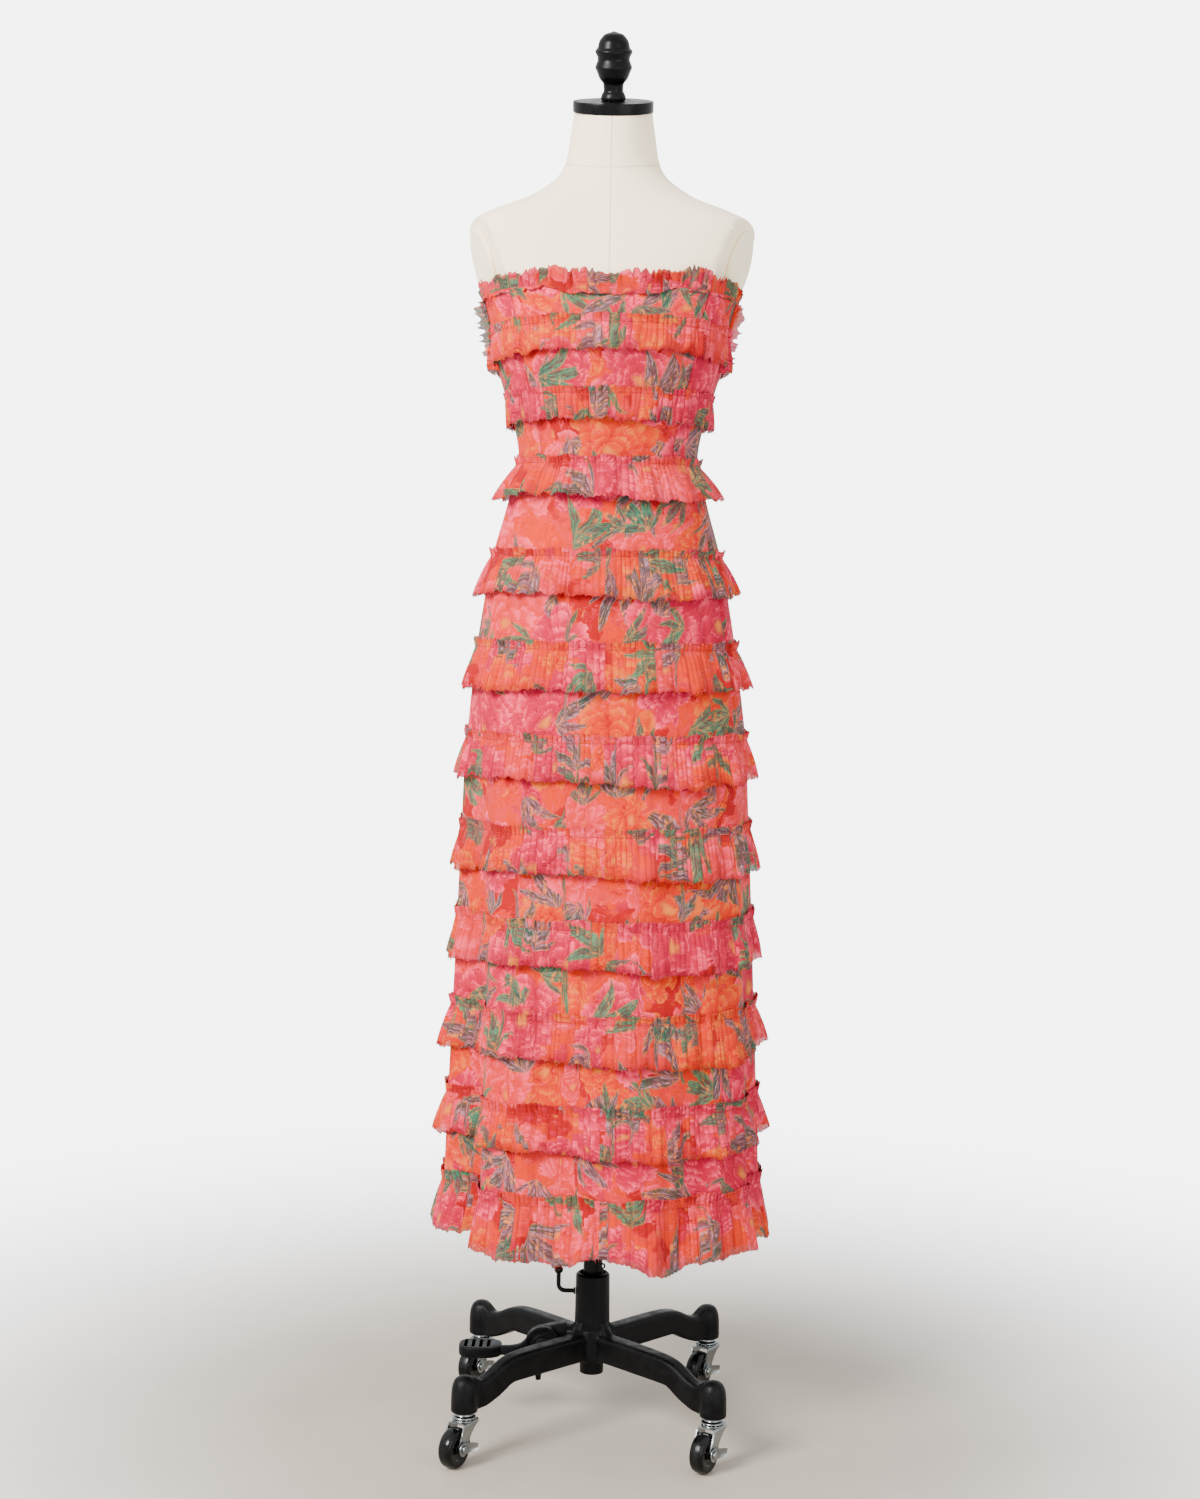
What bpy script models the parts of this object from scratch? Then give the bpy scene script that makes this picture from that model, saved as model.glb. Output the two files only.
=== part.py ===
"""Strapless ruffle dress on a limbless dress form with a four-legged caster stand.

Metres, +Z up, origin on the floor under the column, the dress facing -Y.
Angles round the dress start at the front centre and grow towards +X.
"""

import math
import random
from collections import namedtuple

import bmesh
import bpy
from mathutils import Matrix, Vector

# Clearances and cloth
SEAM = 0.0003
CLOTH = 0.0020
RUFFLE_CLOTH = 0.0016
RUFFLE_GAP = 0.0004
EASE = 0.0015
COLUMNS = 48
COARSE = 2
WAVES = 16
COLUMNS_PER_WAVE = COLUMNS // WAVES
WAVE_PATTERN = (1.0, -0.55, -0.45)
BODY_X = 0.004

# Dress form: half width, front and back of each level, how square it is, how far its plane leans
Level = namedtuple("Level", "z half_width front back square x lean")
FORM = (
    Level(1.7020, 0.0500, -0.0675, 0.0345, 2.00, BODY_X, 15.5),
    Level(1.6720, 0.0548, -0.0670, 0.0425, 2.00, BODY_X, 12.0),
    Level(1.6450, 0.0595, -0.0675, 0.0500, 2.00, BODY_X, 8.0),
    Level(1.6270, 0.0690, -0.0700, 0.0555, 2.05, BODY_X, 5.0),
    Level(1.6120, 0.0870, -0.0740, 0.0600, 2.15, BODY_X, 3.0),
    Level(1.5980, 0.1110, -0.0780, 0.0640, 2.25, BODY_X, 1.5),
    Level(1.5830, 0.1500, -0.0825, 0.0680, 2.35, BODY_X, 0.0),
    Level(1.5680, 0.1815, -0.0870, 0.0715, 2.45, BODY_X, 0.0),
    Level(1.5560, 0.1930, -0.0905, 0.0740, 2.50, BODY_X, 0.0),
    Level(1.5350, 0.1885, -0.0960, 0.0780, 2.50, BODY_X, 0.0),
    Level(1.5050, 0.1765, -0.1045, 0.0820, 2.45, BODY_X, 0.0),
    Level(1.4620, 0.1600, -0.1165, 0.0840, 2.40, BODY_X, 0.0),
    Level(1.4280, 0.1510, -0.1230, 0.0830, 2.35, BODY_X, 0.0),
    Level(1.3950, 0.1440, -0.1230, 0.0800, 2.30, BODY_X, 0.0),
    Level(1.3550, 0.1325, -0.1130, 0.0750, 2.25, BODY_X, 0.0),
    Level(1.3120, 0.1190, -0.1010, 0.0695, 2.20, BODY_X, 0.0),
    Level(1.2700, 0.1120, -0.0935, 0.0665, 2.15, BODY_X, 0.0),
    Level(1.2300, 0.1160, -0.0935, 0.0705, 2.15, BODY_X, 0.0),
    Level(1.1800, 0.1280, -0.0990, 0.0830, 2.15, BODY_X, 0.0),
    Level(1.1250, 0.1420, -0.1055, 0.1000, 2.20, BODY_X, 0.0),
    Level(1.0650, 0.1530, -0.1085, 0.1130, 2.20, BODY_X, 0.0),
    Level(1.0050, 0.1585, -0.1060, 0.1160, 2.20, BODY_X, 0.0),
    Level(0.9680, 0.1560, -0.1020, 0.1100, 2.20, BODY_X, 0.0),
)
FORM_BOTTOM = FORM[-1].z

# Flat oval arm plates at the shoulder ends
PLATE_CENTRE = Vector((0.1605, -0.004, 1.5140))
PLATE_NORMAL = Vector((1.0, -0.325, -0.300)).normalized()
PLATE_HALF_HEIGHT = 0.0475
PLATE_HALF_WIDTH = 0.0420
PLATE_THICK = 0.0050
PLATE_CHAMFER = 0.0015
PLATE_POINTS = 20
FLAT_ABOVE = 1.4600
ROUND_BELOW = 1.4000

# Skirt, from the waist seam down to the hem of the panel
WAIST = 1.2600
TIER = 0.1166
SKIRT = (
    Level(WAIST + 0.0029, 0.1140, -0.0950, 0.0685, 2.15, BODY_X, 0.0),
    Level(1.2050, 0.1285, -0.1035, 0.0830, 2.15, BODY_X, 0.0),
    Level(WAIST - TIER, 0.1455, -0.1130, 0.1030, 2.18, BODY_X, 0.0),
    Level(1.0850, 0.1565, -0.1175, 0.1165, 2.20, 0.0045, 0.0),
    Level(WAIST - 2 * TIER, 0.1655, -0.1215, 0.1250, 2.20, 0.0050, 0.0),
    Level(WAIST - 3 * TIER, 0.1790, -0.1290, 0.1360, 2.20, 0.0070, 0.0),
    Level(WAIST - 4 * TIER, 0.1850, -0.1365, 0.1435, 2.20, 0.0085, 0.0),
    Level(WAIST - 5 * TIER, 0.1905, -0.1435, 0.1500, 2.20, 0.0095, 0.0),
    Level(WAIST - 6 * TIER, 0.1955, -0.1495, 0.1560, 2.20, 0.0095, 0.0),
    Level(WAIST - 7 * TIER, 0.2010, -0.1550, 0.1620, 2.20, 0.0095, 0.0),
    Level(WAIST - 8 * TIER, 0.2060, -0.1605, 0.1675, 2.20, 0.0095, 0.0),
    Level(0.2690, 0.2085, -0.1635, 0.1705, 2.20, 0.0095, 0.0),
)
HEM = SKIRT[-1].z

# Largest folds of the skirt: where, half its width, depth at the hem (ridges are negative), its top
Fold = namedtuple("Fold", "name angle half_width depth top")
FOLDS = (
    Fold("left side", -64.0, 22.0, 0.052, 0.955),
    Fold("right side", 77.0, 15.0, 0.020, 0.900),
    Fold("front left", -13.0, 15.0, 0.011, 0.940),
    Fold("front right", 31.0, 15.0, 0.010, 0.700),
    Fold("front swell", 10.0, 17.0, -0.006, 0.850),
    Fold("right back", 117.0, 19.0, 0.027, 0.950),
    Fold("back right", 155.0, 17.0, 0.018, 0.880),
    Fold("back left", -158.0, 18.0, 0.022, 0.920),
    Fold("left back", -119.0, 19.0, 0.029, 0.950),
)
FOLD_GROWTH = 0.85

# Bodice levels between the ruffle rows: front height, how far it drops at the sides and the back
Line = namedtuple("Line", "front side_drop back_drop")
BODICE_TOP = Line(1.4775, 0.0150, 0.0400)
BODICE_LINES = (
    BODICE_TOP,
    Line(1.4314, 0.0150, 0.0300),
    Line(1.3880, 0.0090, 0.0180),
    Line(1.3457, 0.0040, 0.0080),
    Line(1.3030, 0.0020, 0.0040),
    Line(WAIST + 0.0032, 0.0, 0.0),
)

# Ruffle rows, each stitched on below its raised heading. Columns after the three of its line:
# heading above the stitches, fall below them, how far both stand out, wave height, hem sway
Ruffle = namedtuple(
    "Ruffle", "name front side_drop back_drop heading fall head_out fall_out wave sway")
RUFFLES = (
    Ruffle("ruffle_01_neckline", 1.4745, 0.0150, 0.0400, 0.0215, 0.0080, 0.0070, 0.0045, 0.0025, 0.0),
    Ruffle("ruffle_02_bodice", 1.4314, 0.0150, 0.0300, 0.0105, 0.0350, 0.0030, 0.0085, 0.0035, 0.0),
    Ruffle("ruffle_03_bodice", 1.3457, 0.0040, 0.0080, 0.0080, 0.0340, 0.0030, 0.0085, 0.0035, 0.0),
    Ruffle("ruffle_04_waist", WAIST, 0.0, 0.0, 0.0090, 0.0430, 0.0030, 0.0170, 0.0055, 0.002),
    Ruffle("ruffle_05_skirt", WAIST - TIER, 0.0, 0.0, 0.0090, 0.0500, 0.0030, 0.0110, 0.0050, 0.002),
    Ruffle("ruffle_06_skirt", WAIST - 2 * TIER, 0.0, 0.0, 0.0100, 0.0520, 0.0030, 0.0115, 0.0050, 0.002),
    Ruffle("ruffle_07_skirt", WAIST - 3 * TIER, 0.0, 0.0, 0.0105, 0.0500, 0.0030, 0.0110, 0.0050, 0.003),
    Ruffle("ruffle_08_skirt", WAIST - 4 * TIER, 0.0, 0.0, 0.0115, 0.0510, 0.0030, 0.0110, 0.0050, 0.003),
    Ruffle("ruffle_09_skirt", WAIST - 5 * TIER, 0.0, 0.0, 0.0120, 0.0510, 0.0030, 0.0110, 0.0050, 0.004),
    Ruffle("ruffle_10_skirt", WAIST - 6 * TIER, 0.0, 0.0, 0.0115, 0.0520, 0.0030, 0.0110, 0.0050, 0.004),
    Ruffle("ruffle_11_skirt", WAIST - 7 * TIER, 0.0, 0.0, 0.0130, 0.0500, 0.0030, 0.0110, 0.0050, 0.004),
    Ruffle("ruffle_12_hem", WAIST - 8 * TIER, 0.0, 0.0, 0.0150, 0.0660, 0.0035, 0.0130, 0.0070, 0.008),
)
SWAY_TURNS = 3
SWAY_ANGLE = 33.0
HEADING_WAVE = 0.35
WAVE_SPREAD = 0.35
SEED = 7

# Panels cut for the dress: name, first and last column of the full ring of columns
Panel = namedtuple("Panel", "name first last")
BODICE_PANELS = (
    Panel("bodice_front", -6, 6),
    Panel("bodice_side_right", 6, 12),
    Panel("bodice_back_right", 12, 24),
    Panel("bodice_back_left", 24, 36),
    Panel("bodice_side_left", 36, 42),
)
SKIRT_PANELS = (
    Panel("skirt_front", -12, 12),
    Panel("skirt_back_right", 12, 24),
    Panel("skirt_back_left", 24, 36),
)

# Neck cap and finial, turned about an axis that leans forward with the neck
CAP_TOP = Vector((BODY_X, -0.0200, 1.7190))
CAP_LEAN = math.radians(15.5)
CAP_RADIUS = 0.05125
CAP_THICK = 0.0140
CAP_ROUND = 0.0011
CAP_SIDES = 28
FINIAL_SIDES = 16
FINIAL = (
    (0.0, 0.0), (0.0152, 0.0), (0.0163, 0.0035), (0.0146, 0.0085), (0.0124, 0.0115),
    (0.0129, 0.0210), (0.0180, 0.0265), (0.0212, 0.0350), (0.0237, 0.0405), (0.0228, 0.0430),
    (0.0197, 0.0510), (0.0237, 0.0590), (0.0235, 0.0612), (0.0206, 0.0640), (0.0186, 0.0730),
    (0.0125, 0.0806), (0.0, 0.0846),
)

# Column, hub and pole
ROUND_SIDES = 20
COLUMN_TOP = 0.2013
COLUMN_RADIUS_TOP = 0.0223
COLUMN_RADIUS_LOW = 0.0232
COLUMN_CHAMFER = 0.0026
COLLAR_RADIUS = 0.0170
COLLAR_DEPTH = 0.0040
BORE = 0.0131
POLE_RADIUS = 0.0127
POLE_BOTTOM = 0.1080
HUB_TOP = 0.1240
HUB_BOTTOM = 0.0845
HUB_RADIUS = 0.0248
HUB_EASE = 0.0018
CUP_RADIUS = 0.0156
CUP_BOTTOM = 0.0670
CUP_FLOOR = 0.0040

# Legs: distance from the column, underside, top and half width of each section
LegStep = namedtuple("LegStep", "r low high half_width")
LEG = (
    LegStep(0.0190, 0.0885, 0.1222, 0.0130),
    LegStep(0.1000, 0.0885, 0.1228, 0.0120),
    LegStep(0.1310, 0.0885, 0.1221, 0.0115),
    LegStep(0.1490, 0.0872, 0.1198, 0.0112),
    LegStep(0.1640, 0.0788, 0.1145, 0.0108),
    LegStep(0.1790, 0.0720, 0.1066, 0.0104),
    LegStep(0.1960, 0.0668, 0.1015, 0.0098),
    LegStep(0.2200, 0.0665, 0.0990, 0.0085),
)
LEG_SHOULDER = 0.0045
LEG_EDGE = 0.0020
LEG_REACH = 0.2216
BELL = ((0.0, 0.0654), (0.0165, 0.0654), (0.0172, 0.0665), (0.0166, 0.0900), (0.0150, 0.1030),
        (0.0100, 0.1095), (0.0, 0.1120))
BELL_SIDES = 12
CORNERS = {"fl": -135.0, "fr": -45.0, "br": 45.0, "bl": 135.0}
PEG_PLACE = 0.0960
PEG_RADIUS = 0.0042
PEG_LENGTH = 0.0110

# Pedal on its bracket, left of the column
PIVOT = Vector((-0.0645, 0.0, 0.1065))
PEDAL_HUB_RADIUS = 0.0235
PEDAL_HUB_FRONT = -0.0160
PEDAL_HUB_BACK = -0.0040
PIN_RADIUS = 0.0050
PIN_HEAD = 0.0095
PIN_HEAD_THICK = 0.0030
PAD_CENTRE = Vector((-0.1475, -0.0030, 0.0962))
PAD_HALF_LENGTH = 0.0285
PAD_HALF_WIDTH = 0.0225
PAD_THICK = 0.0140
PAD_SLOTS = 4
PAD_SLOT = 0.0046
PAD_PITCH = 0.0100
PAD_SLOT_SHIFT = -0.0040
PAD_SLOT_REACH = 0.72
PAD_SLOT_TAPER = 0.0012
PAD_POINTS = 20
PAD_SQUARE = 0.25
PEDAL_ARM = ((-0.0150, 0.0130), (-0.0300, -0.0018), (-0.0605, -0.0041), (-0.0605, -0.0165),
             (-0.0260, -0.0163), (-0.0080, -0.0160))
ARM_FRONT = -0.0140
ARM_BACK = 0.0040
BRACKET_BACK = 0.0120
BRACKET_CORNER = Vector((-0.0340, 0.0, 0.1332))
BRACKET_LOW = 0.0925
BRACKET_NECK_BACK = 0.0058
BRACKET_ROUND = 0.0195
BRACKET_LAP = 0.0040

# Clamp lever: a bent rod with a ball
LEVER_HEIGHT = 0.1758
LEVER_RADIUS = 0.0029
LEVER_OUT = -0.0452
LEVER_BEND = 0.0085
BALL_CENTRE = 0.2040
BALL_RADIUS = 0.0060
LEVER_SIDES = 8

# Looped clip on the column's rim
CLIP_THICK = 0.0022
CLIP_FRONT = -0.0175
CLIP_EYE = 0.0042
CLIP_HOLE = 0.0016
CLIP_HIGH = (0.0128, 0.2146)
CLIP_LOW = (0.0108, 0.2062)
CLIP_FOOT = (0.0053, 0.0138)

# Casters: 50 mm wheel, trailing to the front left
WHEEL_RADIUS = 0.0254
WHEEL_HALF_WIDTH = 0.0095
WHEEL_ROUND = 0.0035
WHEEL_SIDES = 16
HUBCAP_RADIUS = 0.0150
HUBCAP_INSET = 0.0015
AXLE_RADIUS = 0.0030
AXLE_GAP = 0.0004
TRAIL = 0.0215
TRAIL_ANGLE = -120.0
FORK_INNER = 0.0112
FORK_PLATE = 0.0020
FORK_TOP = 0.0560
FORK_REACH = 0.0085
FORK_REAR = ((-0.0130, -0.0300), (0.0252, -0.0300), (0.0252, 0.0230), (0.0040, 0.0230))
FORK_AHEAD = ((-0.0515, 0.0060), (-0.0280, 0.0060), (-0.0152, 0.0340), (-0.0152, 0.0400),
              (-0.0515, 0.0400))
RACE_RADIUS = 0.0152
RACE_THICK = 0.0034
STEM_RADIUS = 0.0090
STEM_TOP = 0.0651
BRAKE_RADIUS = 0.0088
BRAKE_THICK = 0.0022
BRAKE_TAB = 0.0215
BRAKE_HALF_TAB = 0.0060
AXLE_HEAD = 0.0050
AXLE_HEAD_THICK = 0.0022
SMALL_SIDES = 10
LAP = 0.0006
THROUGH = 0.0060

# Colours, roughness and metallic value of each finish
Finish = namedtuple("Finish", "colour roughness metallic")
FINISHES = {
    "printed_mesh": Finish((0.80, 0.20, 0.12), 0.75, 0.0),
    "linen": Finish((0.80, 0.74, 0.66), 0.85, 0.0),
    "black_wood": Finish((0.018, 0.018, 0.020), 0.45, 0.0),
    "black_iron": Finish((0.020, 0.020, 0.022), 0.50, 0.3),
    "black_steel": Finish((0.020, 0.020, 0.022), 0.35, 0.6),
    "zinc": Finish((0.62, 0.64, 0.66), 0.28, 1.0),
    "black_rubber": Finish((0.015, 0.015, 0.016), 0.25, 0.0),
}


def clear_scene():
    for item in list(bpy.data.objects):
        bpy.data.objects.remove(item, do_unlink=True)


def finish_material(name):
    material = bpy.data.materials.get(name)
    if material is None:
        look = FINISHES[name]
        material = bpy.data.materials.new(name)
        material.use_nodes = True
        shader = material.node_tree.nodes["Principled BSDF"]
        shader.inputs["Base Color"].default_value = (*look.colour, 1.0)
        shader.inputs["Roughness"].default_value = look.roughness
        shader.inputs["Metallic"].default_value = look.metallic
    return material


def mesh_object(name, points, faces, finish):
    """A named object from points and faces, with its normals made to face out."""
    mesh = bpy.data.meshes.new(name)
    mesh.from_pydata([tuple(point) for point in points], [], faces)
    shell = bmesh.new()
    shell.from_mesh(mesh)
    bmesh.ops.recalc_face_normals(shell, faces=shell.faces)
    shell.to_mesh(mesh)
    shell.free()
    mesh.materials.append(finish_material(finish))
    mesh.shade_smooth()
    mesh.set_sharp_from_angle(angle=math.radians(35))
    item = bpy.data.objects.new(name, mesh)
    bpy.context.collection.objects.link(item)
    return item


def combine(item, tool, operation):
    """Joins a helper shape to an object, or cuts it out, and hides the helper."""
    modifier = item.modifiers.new(operation.title(), "BOOLEAN")
    modifier.operation = operation
    modifier.solver = "EXACT"
    modifier.object = tool
    tool.hide_render = True
    tool.display_type = "WIRE"


def turned_shape(profile, sides, half_step=False):
    """Points and faces of a profile of (radius, height), from its low end up, round the Z axis."""
    points = []
    rings = []
    shift = 0.5 if half_step else 0.0
    for radius, height in profile:
        if radius == 0.0:
            rings.append([len(points)] * sides)
            points.append((0.0, 0.0, height))
            continue
        rings.append(list(range(len(points), len(points) + sides)))
        for side in range(sides):
            turn = math.tau * (side + shift) / sides
            points.append((radius * math.cos(turn), radius * math.sin(turn), height))
    faces = []
    pairs = list(zip(rings, rings[1:]))
    if profile[0][0] > 0.0 and profile[-1][0] > 0.0:
        pairs.append((rings[-1], rings[0]))
    for low, high in pairs:
        for side in range(sides):
            after = (side + 1) % sides
            corners = [low[side], low[after], high[after], high[side]]
            faces.append(tuple(dict.fromkeys(corners)))
    return points, faces


def turned(name, profile, sides, finish, matrix=None, half_step=False):
    points, faces = turned_shape(profile, sides, half_step)
    item = mesh_object(name, points, faces, finish)
    if matrix is not None:
        item.matrix_world = matrix
    return item


def prism(name, outline, direction, low, high, finish):
    """An outline in the two other axes, carried from low to high along X, Y or Z."""
    axes = {"X": (1, 2, 0), "Y": (0, 2, 1), "Z": (0, 1, 2)}[direction]
    points = []
    for level in (low, high):
        for first, second in outline:
            point = [0.0, 0.0, 0.0]
            point[axes[0]] = first
            point[axes[1]] = second
            point[axes[2]] = level
            points.append(point)
    count = len(outline)
    faces = [tuple(range(count)), tuple(range(2 * count - 1, count - 1, -1))]
    for corner in range(count):
        after = (corner + 1) % count
        faces.append((corner, after, count + after, count + corner))
    return mesh_object(name, points, faces, finish)


def arc(centre, radius, start, end, steps):
    """Points in a plane on an arc from start to end, both in degrees."""
    turns = [math.radians(start + (end - start) * step / steps) for step in range(steps + 1)]
    return [(centre[0] + radius * math.cos(turn), centre[1] + radius * math.sin(turn))
            for turn in turns]


def along_y(radius, low, high, centre, sides, name, finish):
    """A plain round bar along Y, through a centre in X and Z."""
    outline = arc(centre, radius, 0.0, 360.0 - 360.0 / sides, sides - 1)
    return prism(name, outline, "Y", low, high, finish)


def smooth_level(table, z):
    """The level at a height, on smooth curves through a table that runs downwards."""
    z = min(max(z, table[-1].z), table[0].z)
    place = 0
    while place < len(table) - 2 and z < table[place + 1].z:
        place += 1
    upper, lower = table[place], table[place + 1]
    above = table[max(place - 1, 0)]
    below = table[min(place + 2, len(table) - 1)]
    span = lower.z - upper.z
    t = (z - upper.z) / span
    values = []
    for field in range(1, len(upper)):
        slope_in = (lower[field] - above[field]) / (lower.z - above.z) * span
        slope_out = (below[field] - upper[field]) / (below.z - upper.z) * span
        values.append(
            upper[field] * (2 * t ** 3 - 3 * t ** 2 + 1) + slope_in * (t ** 3 - 2 * t ** 2 + t)
            + lower[field] * (3 * t ** 2 - 2 * t ** 3) + slope_out * (t ** 3 - t ** 2))
    return Level(z, *values)


def section_point(level, angle):
    """A point and its outward normal on a level's rounded outline."""
    side, ahead = math.sin(angle), math.cos(angle)
    power = 2.0 / level.square
    depth = -level.front if ahead >= 0.0 else level.back
    x = level.half_width * math.copysign(abs(side) ** power, side)
    y = -depth * math.copysign(abs(ahead) ** power, ahead)
    slope = level.square - 1.0
    normal = Vector((
        math.copysign(abs(x / level.half_width) ** slope, side) / level.half_width,
        -math.copysign(abs(y / depth) ** slope, ahead) / depth,
        0.0)).normalized()
    return Vector((level.x + x, y, level.z)), normal


def lean_ring(points, lean):
    """Tips a ring about its middle, the front going down."""
    middle = sum((point.y for point in points), 0.0) / len(points)
    slope = math.tan(math.radians(lean))
    return [Vector((point.x, point.y, point.z + slope * (point.y - middle))) for point in points]


def plate_depth(y, z):
    """How far from the middle plane an arm plate's plane lies."""
    off = PLATE_NORMAL.y * (y - PLATE_CENTRE.y) + PLATE_NORMAL.z * (z - PLATE_CENTRE.z)
    return PLATE_CENTRE.x - off / PLATE_NORMAL.x


def flatten_shoulder(point):
    """Brings a point of the form back to the plane of its arm plate."""
    share = min(max((point.z - ROUND_BELOW) / (FLAT_ABOVE - ROUND_BELOW), 0.0), 1.0)
    reach = abs(point.x - BODY_X)
    limit = plate_depth(point.y, point.z)
    if reach <= limit or share == 0.0:
        return point
    kept = reach + (limit - reach) * share
    return Vector((BODY_X + math.copysign(kept, point.x - BODY_X), point.y, point.z))


def under_cap(point):
    """Brings a point of the neck's top ring to the underside of the cap."""
    down = (CAP_THICK + SEAM) / math.cos(CAP_LEAN)
    rise = (point.y - CAP_TOP.y) * math.tan(CAP_LEAN)
    return Vector((point.x, point.y, CAP_TOP.z - down + rise))


def column_angle(column):
    return math.tau * column / COLUMNS


def fold_depth(angle, z):
    """How far the folds draw the skirt in at an angle and a height."""
    depth = 0.0
    for fold in FOLDS:
        if z >= fold.top:
            continue
        away = (math.degrees(angle) - fold.angle + 180.0) % 360.0 - 180.0
        if abs(away) >= fold.half_width:
            continue
        grown = ((fold.top - z) / (fold.top - HEM)) ** FOLD_GROWTH
        bump = 0.5 + 0.5 * math.cos(math.pi * away / fold.half_width)
        depth += fold.depth * min(grown, 1.0) * bump
    return depth


def cloth_point(angle, z, out):
    """A point that stands out from the inner face of the dress's panels."""
    if z > SKIRT[0].z:
        point, normal = section_point(smooth_level(FORM, z), angle)
        return point + normal * (EASE + out)
    point, normal = section_point(smooth_level(SKIRT, z), angle)
    return point + normal * (out - fold_depth(angle, z))


def line_height(line, angle):
    """The height of a bodice line or ruffle row, which drops towards the back."""
    round_back = (1.0 - math.cos(angle)) / 2.0
    side = line.side_drop - line.back_drop / 2.0
    return line.front - line.back_drop * round_back - side * math.sin(angle) ** 2


def halves(points, quad):
    """A bent quad as two triangles, on its shorter diagonal, so both faces of a wall bend alike."""
    first, second, third, fourth = quad
    if (points[first] - points[third]).length <= (points[second] - points[fourth]).length:
        return (first, second, third), (first, third, fourth)
    return (first, second, fourth), (second, third, fourth)


def wall(name, outer, inner, closed, finish):
    """A cloth wall from rings of outer points and the inner points behind them."""
    levels, columns = len(outer), len(outer[0])
    points = [point for ring in outer for point in ring]
    points += [point for ring in inner for point in ring]
    behind = levels * columns
    faces = []
    steps = columns if closed else columns - 1
    for level in range(levels - 1):
        for column in range(steps):
            after = (column + 1) % columns
            upper, lower = level * columns, (level + 1) * columns
            quad = (upper + column, lower + column, lower + after, upper + after)
            for face in halves(points, quad):
                faces.append(face)
                faces.append(tuple(behind + corner for corner in reversed(face)))
    for level, order in ((0, 1), (levels - 1, -1)):
        for column in range(steps):
            here, there = level * columns + column, level * columns + (column + 1) % columns
            faces.append((here, there, behind + there, behind + here)[::order])
    if not closed:
        for column, order in ((0, 1), (columns - 1, -1)):
            for level in range(levels - 1):
                here, there = level * columns + column, (level + 1) * columns + column
                faces.append((here, behind + here, behind + there, there)[::order])
    return mesh_object(name, points, faces, finish)


def panel(piece, lines, step):
    """One cut panel, its side edges drawn in by half a seam."""
    columns = list(range(piece.first, piece.last + 1, step))
    outer, inner = [], []
    for line in lines:
        rings = ([], [])
        for column in columns:
            angle = column_angle(column)
            z = line_height(line, angle)
            for ring, out in zip(rings, (CLOTH, 0.0)):
                ring.append(cloth_point(angle, z, out))
        for ring in rings:
            for edge, beside in ((0, 1), (-1, -2)):
                inward = (ring[beside] - ring[edge]).normalized()
                ring[edge] = ring[edge] + inward * SEAM / 2
        outer.append(rings[0])
        inner.append(rings[1])
    return wall(piece.name, outer, inner, False, "printed_mesh")


def build_panels():
    for piece in BODICE_PANELS:
        panel(piece, BODICE_LINES, COARSE)
    skirt_lines = [Line(level.z, 0.0, 0.0) for level in SKIRT]
    for piece in SKIRT_PANELS:
        panel(piece, skirt_lines, 1)


def ruffle(row, dice):
    """One gathered strip: heading, stitch line and a waved lower edge."""
    start = dice.randrange(COLUMNS_PER_WAVE)
    sizes = [1.0 + dice.uniform(-WAVE_SPREAD, WAVE_SPREAD) for _ in range(WAVES + 1)]
    outer = ([], [], [])
    inner = ([], [], [])
    for column in range(COLUMNS):
        angle = column_angle(column)
        stitch = line_height(row, angle)
        count = column + start
        wave = WAVE_PATTERN[count % COLUMNS_PER_WAVE] * sizes[count // COLUMNS_PER_WAVE] * row.wave
        sway = row.sway * math.cos(SWAY_TURNS * (angle - math.radians(SWAY_ANGLE)))
        places = (
            (stitch + row.heading + wave * HEADING_WAVE, row.head_out + wave * HEADING_WAVE),
            (stitch, 0.0),
            (stitch - row.fall - sway, row.fall_out + wave),
        )
        for ring, (z, out) in enumerate(places):
            rise = z - stitch
            base = CLOTH + RUFFLE_GAP + out
            for rings, extra in ((outer, RUFFLE_CLOTH), (inner, 0.0)):
                point = cloth_point(angle, z if rise < 0.0 else stitch, base + extra)
                point.z = z
                rings[ring].append(point)
    return wall(row.name, outer, inner, True, "printed_mesh")


def build_ruffles():
    dice = random.Random(SEED)
    for row in RUFFLES:
        ruffle(row, dice)


def build_form():
    rings = []
    for level in FORM:
        ring = []
        for column in range(0, COLUMNS, COARSE):
            point, _ = section_point(level, column_angle(column))
            ring.append(flatten_shoulder(point))
        rings.append(lean_ring(ring, level.lean))
    rings[0] = [under_cap(point) for point in rings[0]]
    points = [point for ring in rings for point in ring]
    count = len(rings[0])
    faces = [tuple(range(count)), tuple(range(len(points) - count, len(points)))]
    for level in range(len(rings) - 1):
        for column in range(count):
            after = (column + 1) % count
            faces.append((level * count + column, (level + 1) * count + column,
                          (level + 1) * count + after, level * count + after))
    mesh_object("form_body", points, faces, "linen")


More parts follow.
